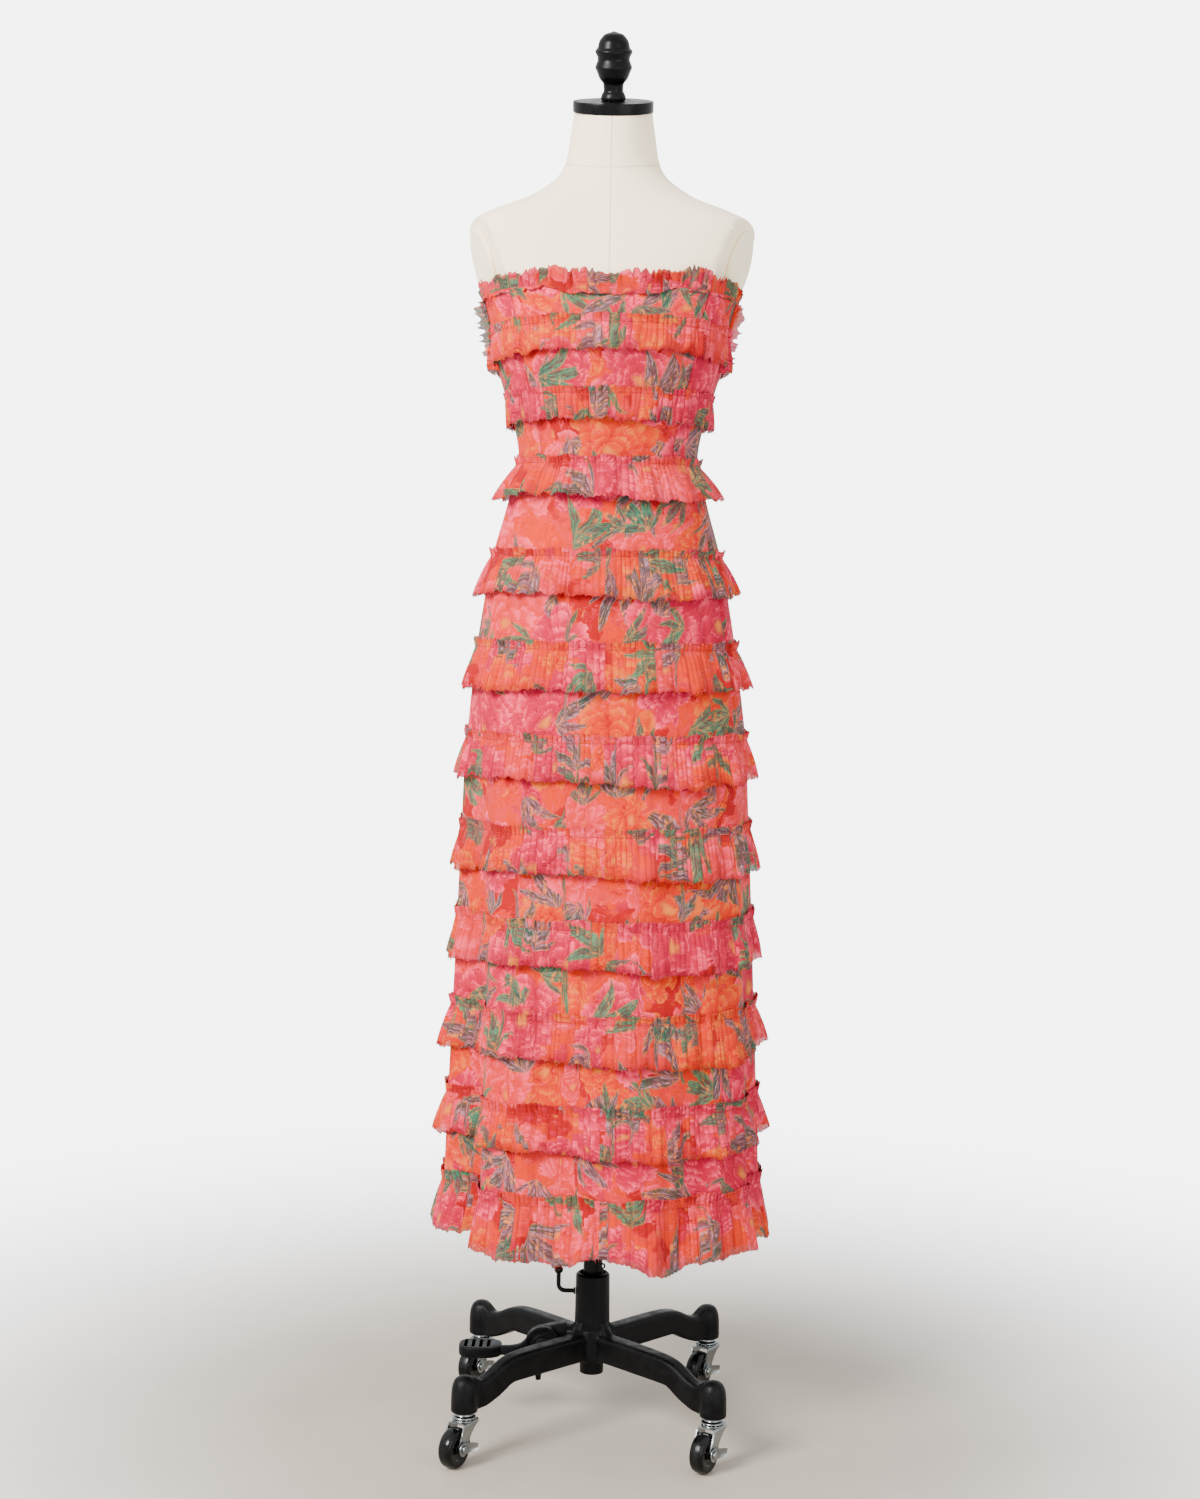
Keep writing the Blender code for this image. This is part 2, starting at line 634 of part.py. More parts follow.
def build_arm_plate(name, side):
    """A flat oval disc just off the flat shoulder end, its outer edge eased."""
    normal = Vector((PLATE_NORMAL.x * side, PLATE_NORMAL.y, PLATE_NORMAL.z))
    centre = Vector((BODY_X + PLATE_CENTRE.x * side, PLATE_CENTRE.y, PLATE_CENTRE.z))
    upward = (Vector((0.0, 0.0, 1.0)) - normal * normal.z).normalized()
    across = upward.cross(normal)
    steps = ((SEAM, 0.0), (PLATE_THICK - PLATE_CHAMFER, 0.0), (PLATE_THICK, PLATE_CHAMFER))
    points = []
    for out, inset in steps:
        for number in range(PLATE_POINTS):
            turn = math.tau * number / PLATE_POINTS
            points.append(centre + normal * out
                          + upward * (PLATE_HALF_HEIGHT - inset) * math.cos(turn)
                          + across * (PLATE_HALF_WIDTH - inset) * math.sin(turn))
    faces = [tuple(range(PLATE_POINTS)),
             tuple(range(2 * PLATE_POINTS, 3 * PLATE_POINTS))]
    for level in range(2):
        for number in range(PLATE_POINTS):
            after = (number + 1) % PLATE_POINTS
            low, high = level * PLATE_POINTS, (level + 1) * PLATE_POINTS
            faces.append((low + number, low + after, high + after, high + number))
    mesh_object(name, points, faces, "linen")


def build_neck():
    place = Matrix.Translation(CAP_TOP) @ Matrix.Rotation(CAP_LEAN, 4, "X")
    edge = CAP_RADIUS - CAP_ROUND
    cap = (
        (0.0, -CAP_THICK), (edge, -CAP_THICK), (CAP_RADIUS, CAP_ROUND - CAP_THICK),
        (CAP_RADIUS, -CAP_ROUND), (edge, 0.0), (0.0, 0.0))
    turned("neck_cap", cap, CAP_SIDES, "black_wood", place)
    raised = Matrix.Translation(CAP_TOP) @ Matrix.Rotation(CAP_LEAN, 4, "X")
    raised = raised @ Matrix.Translation((0.0, 0.0, SEAM))
    turned("finial", FINIAL, FINIAL_SIDES, "black_wood", raised)


def build_column():
    pole = ((0.0, POLE_BOTTOM), (POLE_RADIUS, POLE_BOTTOM),
            (POLE_RADIUS, FORM_BOTTOM - SEAM), (0.0, FORM_BOTTOM - SEAM))
    turned("pole", pole, ROUND_SIDES, "black_steel", half_step=True)
    column = (
        (BORE, HUB_TOP + SEAM), (COLUMN_RADIUS_LOW, HUB_TOP + SEAM),
        (COLUMN_RADIUS_TOP, COLUMN_TOP - COLUMN_CHAMFER),
        (COLUMN_RADIUS_TOP - COLUMN_CHAMFER, COLUMN_TOP), (COLLAR_RADIUS, COLUMN_TOP),
        (COLLAR_RADIUS, COLUMN_TOP - COLLAR_DEPTH), (BORE, COLUMN_TOP - COLLAR_DEPTH))
    turned("column", column, ROUND_SIDES, "black_iron", half_step=True)
    hub = ((BORE, HUB_BOTTOM), (HUB_RADIUS, HUB_BOTTOM), (HUB_RADIUS, HUB_TOP - HUB_EASE),
           (HUB_RADIUS - HUB_EASE, HUB_TOP), (BORE, HUB_TOP))
    turned("hub", hub, ROUND_SIDES, "black_iron", half_step=True)
    cup_top = HUB_BOTTOM - SEAM
    cup = ((0.0, CUP_BOTTOM), (CUP_RADIUS, CUP_BOTTOM), (CUP_RADIUS, cup_top),
           (BORE, cup_top), (BORE, CUP_BOTTOM + CUP_FLOOR), (0.0, CUP_BOTTOM + CUP_FLOOR))
    turned("lower_cup", cup, ROUND_SIDES, "black_iron", half_step=True)


def leg_section(step):
    """Eight points round a leg, its top edges more rounded than its lower ones."""
    wide, low, high = step.half_width, step.low, step.high
    outline = (
        (-wide, low + LEG_EDGE), (-wide + LEG_EDGE, low), (wide - LEG_EDGE, low),
        (wide, low + LEG_EDGE), (wide, high - LEG_SHOULDER), (wide - LEG_SHOULDER, high),
        (-wide + LEG_SHOULDER, high), (-wide, high - LEG_SHOULDER))
    return [(step.r, across, height) for across, height in outline]


def build_leg(corner, heading, hub_room):
    """A cast leg with the bell that holds its caster, its inner end shaped to the hub."""
    points = []
    for step in LEG:
        points += leg_section(step)
    around = len(points) // len(LEG)
    faces = [tuple(range(around)), tuple(range(len(points) - around, len(points)))]
    for number in range(len(LEG) - 1):
        for corner_point in range(around):
            after = (corner_point + 1) % around
            near, far = number * around, (number + 1) * around
            faces.append((near + corner_point, near + after, far + after, far + corner_point))
    turn = Matrix.Rotation(math.radians(heading), 4, "Z")
    leg = mesh_object("leg_" + corner, points, faces, "black_iron")
    leg.matrix_world = turn
    bell = turned("bell_" + corner, BELL, BELL_SIDES, "black_iron",
                  turn @ Matrix.Translation((LEG_REACH, 0.0, 0.0)))
    combine(leg, bell, "UNION")
    combine(leg, hub_room, "DIFFERENCE")
    if corner == "fl":
        peg_low = LEG[1].low - PEG_LENGTH
        peg = turned("peg", ((0.0, peg_low), (PEG_RADIUS, peg_low), (PEG_RADIUS, LEG[1].low + 0.005),
                             (0.0, LEG[1].low + 0.005)), SMALL_SIDES, "black_iron",
                     turn @ Matrix.Translation((PEG_PLACE, 0.0, 0.0)))
        combine(leg, peg, "UNION")


def build_bracket():
    """The plate that carries the pedal's pin, between the two left legs."""
    near_hub = -HUB_RADIUS * math.cos(math.pi / ROUND_SIDES) - SEAM
    outline = arc((PIVOT.x, PIVOT.z), BRACKET_ROUND, 110.0, 250.0, 6)
    outline += [(BRACKET_CORNER.x, BRACKET_LOW), (BRACKET_CORNER.x, BRACKET_CORNER.z)]
    front = PEDAL_HUB_BACK + SEAM
    bracket = prism("pedal_bracket", outline, "Y", front, BRACKET_BACK, "black_iron")
    neck_top = HUB_TOP - BRACKET_LAP
    lap = BRACKET_CORNER.x - BRACKET_LAP
    neck_outline = [(lap, BRACKET_LOW), (near_hub, BRACKET_LOW), (near_hub, neck_top), (lap, neck_top)]
    neck = prism("bracket_neck", neck_outline, "Y", front, BRACKET_NECK_BACK, "black_iron")
    combine(bracket, neck, "UNION")
    centre = (PIVOT.x, PIVOT.z)
    head = PEDAL_HUB_FRONT - SEAM
    pin = along_y(PIN_RADIUS, head - PIN_HEAD_THICK, 0.0, centre, SMALL_SIDES, "pedal_pin", "black_iron")
    cap = along_y(PIN_HEAD, head - PIN_HEAD_THICK, head, centre, SMALL_SIDES, "pin_head", "black_iron")
    combine(bracket, pin, "UNION")
    combine(bracket, cap, "UNION")


def build_pedal():
    """A slotted pad on an arm that turns on the bracket's pin."""
    centre = (PIVOT.x, PIVOT.z)
    pedal = along_y(PEDAL_HUB_RADIUS, PEDAL_HUB_FRONT, PEDAL_HUB_BACK, centre, 20, "pedal", "black_iron")
    hole = along_y(PIN_RADIUS + AXLE_GAP, PEDAL_HUB_FRONT - THROUGH, PEDAL_HUB_BACK + THROUGH, centre,
                   SMALL_SIDES, "pin_hole", "black_iron")
    arm_outline = [(PIVOT.x + along, PIVOT.z + up) for along, up in PEDAL_ARM]
    arm = prism("pedal_arm", arm_outline, "Y", ARM_FRONT, PEDAL_HUB_BACK - SEAM, "black_iron")
    turns = [math.tau * (number + 0.5) / PAD_POINTS for number in range(PAD_POINTS)]
    oval = [(PAD_CENTRE.x + PAD_HALF_LENGTH * math.cos(turn) / abs(math.cos(turn)) ** PAD_SQUARE,
             PAD_CENTRE.y + PAD_HALF_WIDTH * math.sin(turn) / abs(math.sin(turn)) ** PAD_SQUARE)
            for turn in turns]
    pad = prism("pedal_pad", oval, "Z", PAD_CENTRE.z - PAD_THICK / 2, PAD_CENTRE.z + PAD_THICK / 2,
                "black_iron")
    combine(pedal, arm, "UNION")
    combine(pedal, pad, "UNION")
    for number in range(PAD_SLOTS):
        off = number - (PAD_SLOTS - 1) / 2
        middle = PAD_CENTRE.x + PAD_SLOT_SHIFT + off * PAD_PITCH
        half = PAD_HALF_WIDTH * PAD_SLOT_REACH - abs(off) * PAD_SLOT_TAPER
        rows = [(middle - PAD_SLOT / 2, PAD_CENTRE.y - half), (middle + PAD_SLOT / 2, PAD_CENTRE.y - half),
                (middle + PAD_SLOT / 2, PAD_CENTRE.y + half), (middle - PAD_SLOT / 2, PAD_CENTRE.y + half)]
        slot = prism("pad_slot_%d" % number, rows, "Z", PAD_CENTRE.z - PAD_THICK,
                     PAD_CENTRE.z + PAD_THICK, "black_iron")
        combine(pedal, slot, "DIFFERENCE")
    combine(pedal, hole, "DIFFERENCE")


def build_lever():
    """A thin rod out of the column, bent up to a ball."""
    share = (LEVER_HEIGHT - HUB_TOP) / (COLUMN_TOP - COLUMN_CHAMFER - HUB_TOP)
    column = COLUMN_RADIUS_LOW + (COLUMN_RADIUS_TOP - COLUMN_RADIUS_LOW) * share
    near = -column * math.cos(math.pi / ROUND_SIDES) - SEAM
    path = [Vector((near, 0.0, LEVER_HEIGHT)), Vector((LEVER_OUT + LEVER_BEND, 0.0, LEVER_HEIGHT))]
    for step in range(1, 4):
        turn = math.radians(90.0 * step / 3)
        path.append(Vector((LEVER_OUT + LEVER_BEND - LEVER_BEND * math.sin(turn), 0.0,
                            LEVER_HEIGHT + LEVER_BEND * (1.0 - math.cos(turn)))))
    path.append(Vector((LEVER_OUT, 0.0, BALL_CENTRE - BALL_RADIUS * 0.5)))
    sides = LEVER_SIDES
    points, faces = [], []
    for number, place in enumerate(path):
        before = path[max(number - 1, 0)]
        beyond = path[min(number + 1, len(path) - 1)]
        forward = (beyond - before).normalized()
        rise = forward.cross(Vector((0.0, 1.0, 0.0)))
        for side in range(sides):
            turn = math.tau * side / sides
            points.append(place + Vector((0.0, 1.0, 0.0)) * LEVER_RADIUS * math.cos(turn)
                          + rise * LEVER_RADIUS * math.sin(turn))
    for number in range(len(path) - 1):
        for side in range(sides):
            after = (side + 1) % sides
            near_ring, far_ring = number * sides, (number + 1) * sides
            faces.append((near_ring + side, near_ring + after, far_ring + after, far_ring + side))
    faces.append(tuple(range(sides)))
    faces.append(tuple(range(len(points) - sides, len(points))))
    lever = mesh_object("clamp_lever", points, faces, "black_steel")
    dome = [(BALL_RADIUS * math.cos(math.radians(turn)) if abs(turn) < 90 else 0.0,
             BALL_RADIUS * math.sin(math.radians(turn))) for turn in range(-90, 91, 36)]
    ball = turned("lever_ball", dome, SMALL_SIDES, "black_steel",
                  Matrix.Translation((LEVER_OUT, 0.0, BALL_CENTRE)))
    combine(lever, ball, "UNION")


def build_clip():
    """A small looped clip standing on the front of the column's rim."""
    foot = COLUMN_TOP + SEAM
    outline = [(along, foot) for along in CLIP_FOOT]
    outline += arc(CLIP_LOW, CLIP_EYE, -30.0, 20.0, 2)
    outline += arc(CLIP_HIGH, CLIP_EYE, -40.0, 190.0, 6)
    back = CLIP_FRONT + CLIP_THICK
    clip = prism("column_clip", outline, "Y", CLIP_FRONT, back, "black_steel")
    hole = along_y(CLIP_HOLE, CLIP_FRONT - THROUGH, back + THROUGH, CLIP_HIGH, SMALL_SIDES,
                   "clip_hole", "black_steel")
    combine(clip, hole, "DIFFERENCE")


def build_wheel(corner, place):
    """A wheel that rests on one of its flats, dished a little round its hub."""
    edge, side = WHEEL_RADIUS / math.cos(math.pi / WHEEL_SIDES), WHEEL_HALF_WIDTH
    bore = AXLE_RADIUS + AXLE_GAP
    profile = (
        (bore, -side), (HUBCAP_RADIUS, -side + HUBCAP_INSET), (edge - WHEEL_ROUND, -side),
        (edge, -side + WHEEL_ROUND), (edge, side - WHEEL_ROUND), (edge - WHEEL_ROUND, side),
        (HUBCAP_RADIUS, side - HUBCAP_INSET), (bore, side))
    turned("wheel_" + corner, profile, WHEEL_SIDES, "black_rubber", place, half_step=True)


def build_fork(corner, place, swivel):
    """A bent plate over the wheel, with the axle and the lower swivel race."""
    width = FORK_INNER + FORK_PLATE
    top = FORK_TOP - WHEEL_RADIUS
    ceiling = top - FORK_PLATE
    outline = [
        (-width, -FORK_REACH), (-FORK_INNER, -FORK_REACH), (-FORK_INNER, ceiling), (FORK_INNER, ceiling),
        (FORK_INNER, -FORK_REACH), (width, -FORK_REACH), (width, top), (-width, top)]
    at_axle = swivel @ Matrix.Translation((0.0, 0.0, WHEEL_RADIUS))
    fork = prism("fork_" + corner, outline, "X", -TRAIL - FORK_REACH, RACE_RADIUS, "zinc")
    fork.matrix_world = at_axle
    # Trim the cheeks so that they slope from the race to the axle.
    for name, corners in (("rear", FORK_REAR), ("ahead", FORK_AHEAD)):
        trim = prism("trim_" + name + "_" + corner, corners, "Y", -width - THROUGH, width + THROUGH, "zinc")
        trim.matrix_world = at_axle
        combine(fork, trim, "DIFFERENCE")
    race = turned("race_" + corner, (
        (0.0, FORK_TOP - LAP), (RACE_RADIUS, FORK_TOP - LAP), (RACE_RADIUS, FORK_TOP + RACE_THICK / 2),
        (0.0, FORK_TOP + RACE_THICK / 2)), BELL_SIDES, "zinc", swivel)
    combine(fork, race, "UNION")
    reach = width + BRAKE_THICK + 2 * SEAM
    axle = turned("axle_" + corner, (
        (0.0, -width - AXLE_HEAD_THICK), (AXLE_HEAD, -width - AXLE_HEAD_THICK), (AXLE_HEAD, -width + LAP),
        (AXLE_RADIUS, -width + LAP), (AXLE_RADIUS, reach), (AXLE_HEAD, reach),
        (AXLE_HEAD, reach + AXLE_HEAD_THICK), (0.0, reach + AXLE_HEAD_THICK)), SMALL_SIDES, "zinc", place)
    combine(fork, axle, "UNION")


def build_brake(corner, place):
    """A flat lever on the axle beside the fork, its tab turned out."""
    inner = FORK_INNER + FORK_PLATE + SEAM
    ring = arc((0.0, 0.0), BRAKE_RADIUS, 40.0, 320.0, 8)
    tab = [(BRAKE_TAB, -BRAKE_HALF_TAB), (BRAKE_TAB, BRAKE_HALF_TAB)]
    brake = prism("brake_" + corner, ring + tab, "Z", inner, inner + BRAKE_THICK, "zinc")
    brake.matrix_world = place
    hole = turned("brake_hole_" + corner, (
        (0.0, inner - THROUGH), (AXLE_RADIUS + AXLE_GAP, inner - THROUGH),
        (AXLE_RADIUS + AXLE_GAP, inner + THROUGH), (0.0, inner + THROUGH)), SMALL_SIDES, "zinc", place)
    combine(brake, hole, "DIFFERENCE")


def build_caster(corner, heading):
    """Stem and upper race on the leg, then fork, wheel and brake below them."""
    turn = math.radians(heading)
    stem_place = Matrix.Translation((LEG_REACH * math.cos(turn), LEG_REACH * math.sin(turn), 0.0))
    race_low = FORK_TOP + RACE_THICK / 2 + SEAM
    race_high = race_low + RACE_THICK
    turned("stem_" + corner, (
        (0.0, race_low), (RACE_RADIUS, race_low), (RACE_RADIUS - 0.001, race_high), (STEM_RADIUS, race_high),
        (STEM_RADIUS, STEM_TOP), (0.0, STEM_TOP)), SMALL_SIDES, "zinc", stem_place)
    swivel = stem_place @ Matrix.Rotation(math.radians(TRAIL_ANGLE + 180.0), 4, "Z")
    axle = swivel @ Matrix.Translation((-TRAIL, 0.0, WHEEL_RADIUS))
    place = axle @ Matrix.Rotation(math.radians(90.0), 4, "X")
    build_fork(corner, place, swivel)
    build_wheel(corner, place)
    build_brake(corner, place)


def main():
    clear_scene()
    build_form()
    build_arm_plate("arm_plate_right", 1.0)
    build_arm_plate("arm_plate_left", -1.0)
    build_neck()
    build_panels()
    build_ruffles()
    build_column()
    reach = HUB_RADIUS + SEAM
    hub_room = turned("hub_room", ((0.0, 0.0), (reach, 0.0), (reach, COLUMN_TOP), (0.0, COLUMN_TOP)),
                      ROUND_SIDES, "black_iron", half_step=True)
    for corner, heading in CORNERS.items():
        build_leg(corner, heading, hub_room)
        build_caster(corner, heading)
    build_bracket()
    build_pedal()
    build_lever()
    build_clip()


main()
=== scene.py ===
"""Looks of a strapless ruffle dress on a limbless dress form with a four-legged caster stand.

Metres, +Z up, the dress facing -Y. Angles round the dress start at the front centre and grow towards +X.
"""

import math
import random
from collections import namedtuple

import bmesh
import bpy
import numpy as np
from bpy.props import FloatProperty, FloatVectorProperty, PointerProperty
from mathutils import Matrix, Vector


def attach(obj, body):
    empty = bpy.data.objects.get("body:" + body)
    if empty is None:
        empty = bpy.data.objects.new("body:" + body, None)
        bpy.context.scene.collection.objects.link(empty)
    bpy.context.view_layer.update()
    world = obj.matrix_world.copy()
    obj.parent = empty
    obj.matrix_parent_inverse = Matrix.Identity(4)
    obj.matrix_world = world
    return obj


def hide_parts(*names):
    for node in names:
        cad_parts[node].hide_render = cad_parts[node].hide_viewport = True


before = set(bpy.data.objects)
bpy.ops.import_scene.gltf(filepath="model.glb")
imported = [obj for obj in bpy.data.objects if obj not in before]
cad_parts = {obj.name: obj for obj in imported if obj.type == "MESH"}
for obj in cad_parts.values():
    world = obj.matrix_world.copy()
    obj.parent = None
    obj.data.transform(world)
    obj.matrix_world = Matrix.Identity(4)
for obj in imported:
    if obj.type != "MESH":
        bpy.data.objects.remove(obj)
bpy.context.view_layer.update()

bl_info = {
    "name": "Ruffle Dress on a Dress Form",
    "version": (1, 0, 0),
    "blender": (4, 5, 0),
    "location": "View3D > Sidebar > Ruffle Dress",
    "description": "Dresses a plain model of a ruffle dress, its dress form and its stand",
    "category": "Add Mesh",
}

CUT = "cut"
EDGE = "edge_distance"

# The dress's own sizes, as its solids have them
CLOTH = 0.0020
RUFFLE_GAP = 0.0004
EASE = 0.0015
COLUMNS = 48
WAVES = 16
COLUMNS_PER_WAVE = COLUMNS // WAVES
WAVE_PATTERN = (1.0, -0.55, -0.45)
BODY_X = 0.004
SEAM = 0.0003

# Dress form: half width, front and back of each level, how square it is, how far its plane leans
Level = namedtuple("Level", "z half_width front back square x lean", defaults=(BODY_X, 0.0))
FORM = (
    Level(1.7020, 0.0500, -0.0675, 0.0345, 2.00, BODY_X, 15.5),
    Level(1.6720, 0.0548, -0.0670, 0.0425, 2.00, BODY_X, 12.0),
    Level(1.6450, 0.0595, -0.0675, 0.0500, 2.00, BODY_X, 8.0),
    Level(1.6270, 0.0690, -0.0700, 0.0555, 2.05, BODY_X, 5.0),
    Level(1.6120, 0.0870, -0.0740, 0.0600, 2.15, BODY_X, 3.0),
    Level(1.5980, 0.1110, -0.0780, 0.0640, 2.25, BODY_X, 1.5),
    Level(1.5830, 0.1500, -0.0825, 0.0680, 2.35),
    Level(1.5680, 0.1815, -0.0870, 0.0715, 2.45),
    Level(1.5560, 0.1930, -0.0905, 0.0740, 2.50),
    Level(1.5350, 0.1885, -0.0960, 0.0780, 2.50),
    Level(1.5050, 0.1765, -0.1045, 0.0820, 2.45),
    Level(1.4620, 0.1600, -0.1165, 0.0840, 2.40),
    Level(1.4280, 0.1510, -0.1230, 0.0830, 2.35),
    Level(1.3950, 0.1440, -0.1230, 0.0800, 2.30),
    Level(1.3550, 0.1325, -0.1130, 0.0750, 2.25),
    Level(1.3120, 0.1190, -0.1010, 0.0695, 2.20),
    Level(1.2700, 0.1120, -0.0935, 0.0665, 2.15),
    Level(1.2300, 0.1160, -0.0935, 0.0705, 2.15),
    Level(1.1800, 0.1280, -0.0990, 0.0830, 2.15),
    Level(1.1250, 0.1420, -0.1055, 0.1000, 2.20),
    Level(1.0650, 0.1530, -0.1085, 0.1130, 2.20),
    Level(1.0050, 0.1585, -0.1060, 0.1160, 2.20),
    Level(0.9680, 0.1560, -0.1020, 0.1100, 2.20),
)

# Arm plates at the shoulder ends
PLATE_CENTRE = Vector((0.1605, -0.004, 1.5140))
PLATE_NORMAL = Vector((1.0, -0.325, -0.300)).normalized()
PLATE_HALF_HEIGHT = 0.0475
PLATE_HALF_WIDTH = 0.0420
FLAT_ABOVE = 1.4600
ROUND_BELOW = 1.4000

# How far out each ring of an arm plate stands, and how far it lies in from the edge
PLATE_STEPS = ((0.0, 0.0004), (0.0006, 0.0), (0.0030, 0.0), (0.0041, 0.0005), (0.0047, 0.0016),
               (0.0049, 0.0040), (0.0052, 0.0120), (0.0054, 0.0240), (0.0055, 0.0330))

# Neck cap, and the finial's profile of (radius, height)
CAP_TOP = Vector((BODY_X, -0.0200, 1.7190))
CAP_LEAN = math.radians(15.5)
CAP_RADIUS = 0.05125
CAP_THICK = 0.0140
FINIAL = (
    (0.0, 0.0), (0.0152, 0.0), (0.0163, 0.0035), (0.0146, 0.0085), (0.0124, 0.0115),
    (0.0129, 0.0210), (0.0180, 0.0265), (0.0212, 0.0350), (0.0237, 0.0405), (0.0228, 0.0430),
    (0.0197, 0.0510), (0.0237, 0.0590), (0.0235, 0.0612), (0.0206, 0.0640), (0.0186, 0.0730),
    (0.0125, 0.0806), (0.0, 0.0846),
)

# Skirt, from the waist seam down to the hem of the panel
WAIST = 1.2600
TIER = 0.1166
SKIRT = (
    Level(WAIST + 0.0029, 0.1140, -0.0950, 0.0685, 2.15),
    Level(1.2050, 0.1285, -0.1035, 0.0830, 2.15),
    Level(WAIST - TIER, 0.1455, -0.1130, 0.1030, 2.18),
    Level(1.0850, 0.1565, -0.1175, 0.1165, 2.20, 0.0045),
    Level(WAIST - 2 * TIER, 0.1655, -0.1215, 0.1250, 2.20, 0.0050),
    Level(WAIST - 3 * TIER, 0.1790, -0.1290, 0.1360, 2.20, 0.0070),
    Level(WAIST - 4 * TIER, 0.1850, -0.1365, 0.1435, 2.20, 0.0085),
    Level(WAIST - 5 * TIER, 0.1905, -0.1435, 0.1500, 2.20, 0.0095),
    Level(WAIST - 6 * TIER, 0.1955, -0.1495, 0.1560, 2.20, 0.0095),
    Level(WAIST - 7 * TIER, 0.2010, -0.1550, 0.1620, 2.20, 0.0095),
    Level(WAIST - 8 * TIER, 0.2060, -0.1605, 0.1675, 2.20, 0.0095),
    Level(0.2690, 0.2085, -0.1635, 0.1705, 2.20, 0.0095),
)
HEM = SKIRT[-1].z

# Largest folds of the skirt: where, half its width, depth at the hem (ridges are negative), its top
Fold = namedtuple("Fold", "name angle half_width depth top")
FOLDS = (
    Fold("left side", -64.0, 22.0, 0.052, 0.955),
    Fold("right side", 77.0, 15.0, 0.020, 0.900),
    Fold("front left", -13.0, 15.0, 0.011, 0.940),
    Fold("front right", 31.0, 15.0, 0.010, 0.700),
    Fold("front swell", 10.0, 17.0, -0.006, 0.850),
    Fold("right back", 117.0, 19.0, 0.027, 0.950),
    Fold("back right", 155.0, 17.0, 0.018, 0.880),
    Fold("back left", -158.0, 18.0, 0.022, 0.920),
    Fold("left back", -119.0, 19.0, 0.029, 0.950),
)
FOLD_GROWTH = 0.85

# Small soft creases, listed one by one: angle, half width in degrees, depth, top, bottom, drift in degrees
Crease = namedtuple("Crease", "angle half_width depth top bottom drift")
CREASES = (
    Crease(-46.0, 4.0, 0.0035, 1.180, 0.860, -3.0),
    Crease(-30.0, 3.0, 0.0018, 0.900, 0.420, 2.0),
    Crease(-22.0, 3.5, 0.0030, 0.640, 0.270, 1.0),
    Crease(-5.0, 3.0, 0.0022, 0.760, 0.270, -2.0),
    Crease(3.0, 2.5, -0.0018, 0.560, 0.270, 1.0),
    Crease(17.0, 3.0, 0.0020, 1.050, 0.700, 2.0),
    Crease(25.0, 3.5, -0.0024, 0.480, 0.270, 0.0),
    Crease(38.0, 3.0, 0.0032, 0.600, 0.270, -1.0),
    Crease(49.0, 4.0, 0.0028, 1.120, 0.620, 3.0),
    Crease(58.0, 3.0, -0.0020, 0.800, 0.270, 1.0),
    Crease(66.0, 3.5, 0.0036, 1.190, 0.900, 2.0),
    Crease(92.0, 4.0, 0.0030, 1.000, 0.300, -2.0),
    Crease(101.0, 3.5, -0.0026, 0.760, 0.270, 0.0),
    Crease(132.0, 4.0, 0.0032, 1.120, 0.560, 2.0),
    Crease(141.0, 3.0, -0.0024, 0.640, 0.270, -1.0),
    Crease(168.0, 4.0, 0.0030, 1.160, 0.740, 2.0),
    Crease(176.0, 3.0, 0.0024, 0.620, 0.270, 0.0),
    Crease(-171.0, 3.5, -0.0022, 0.880, 0.300, 1.0),
    Crease(-140.0, 4.0, 0.0034, 1.150, 0.640, -2.0),
    Crease(-132.0, 3.0, -0.0024, 0.580, 0.270, 1.0),
    Crease(-101.0, 4.0, 0.0030, 1.130, 0.700, 1.0),
    Crease(-92.0, 3.5, 0.0026, 0.660, 0.270, -2.0),
    Crease(-84.0, 3.0, -0.0024, 0.900, 0.300, 1.0),
)

# Soft folds laid into the skirt's net: where they start, in degrees from the front, how much net each
# takes up, its top and bottom, and how far it drifts on the way down
Tuck = namedtuple("Tuck", "start width top bottom drift")
TUCKS = tuple(Tuck(*row) for row in (
    (-64.0, 0.020, 1.120, 0.520, 3.0), (-48.0, 0.016, 0.700, 0.300, -2.0),
    (-32.0, 0.024, 0.980, 0.330, -3.0), (-15.0, 0.030, 1.180, 0.270, 2.0),
    (-6.5, 0.022, 0.830, 0.260, -1.5), (9.5, 0.026, 1.020, 0.300, 2.5), (28.0, 0.032, 1.180, 0.260, 1.0),
    (45.0, 0.018, 0.620, 0.290, 3.0), (65.0, 0.024, 1.080, 0.310, -2.0), (104.0, 0.024, 1.150, 0.290, 3.0),
    (122.0, 0.018, 0.760, 0.320, -2.0), (141.0, 0.028, 1.180, 0.270, 2.0),
    (163.0, 0.022, 0.940, 0.300, -3.0), (-101.0, 0.026, 1.160, 0.280, -2.0),
    (-120.0, 0.020, 0.880, 0.300, 3.0), (-138.0, 0.016, 0.650, 0.290, 1.5),
    (-158.0, 0.028, 1.170, 0.270, -2.0)
))
TUCK_EDGE = 1.1
TUCK_SPREAD = 7.0
TUCK_RISE = 0.0010

# Levels of the bodice and of the ruffle rows: front height, drop at the sides, drop at the back
Line = namedtuple("Line", "front side_drop back_drop")
BODICE_TOP = Line(1.4775, 0.0150, 0.0400)
BODICE_BOTTOM = Line(WAIST + 0.0032, 0.0, 0.0)

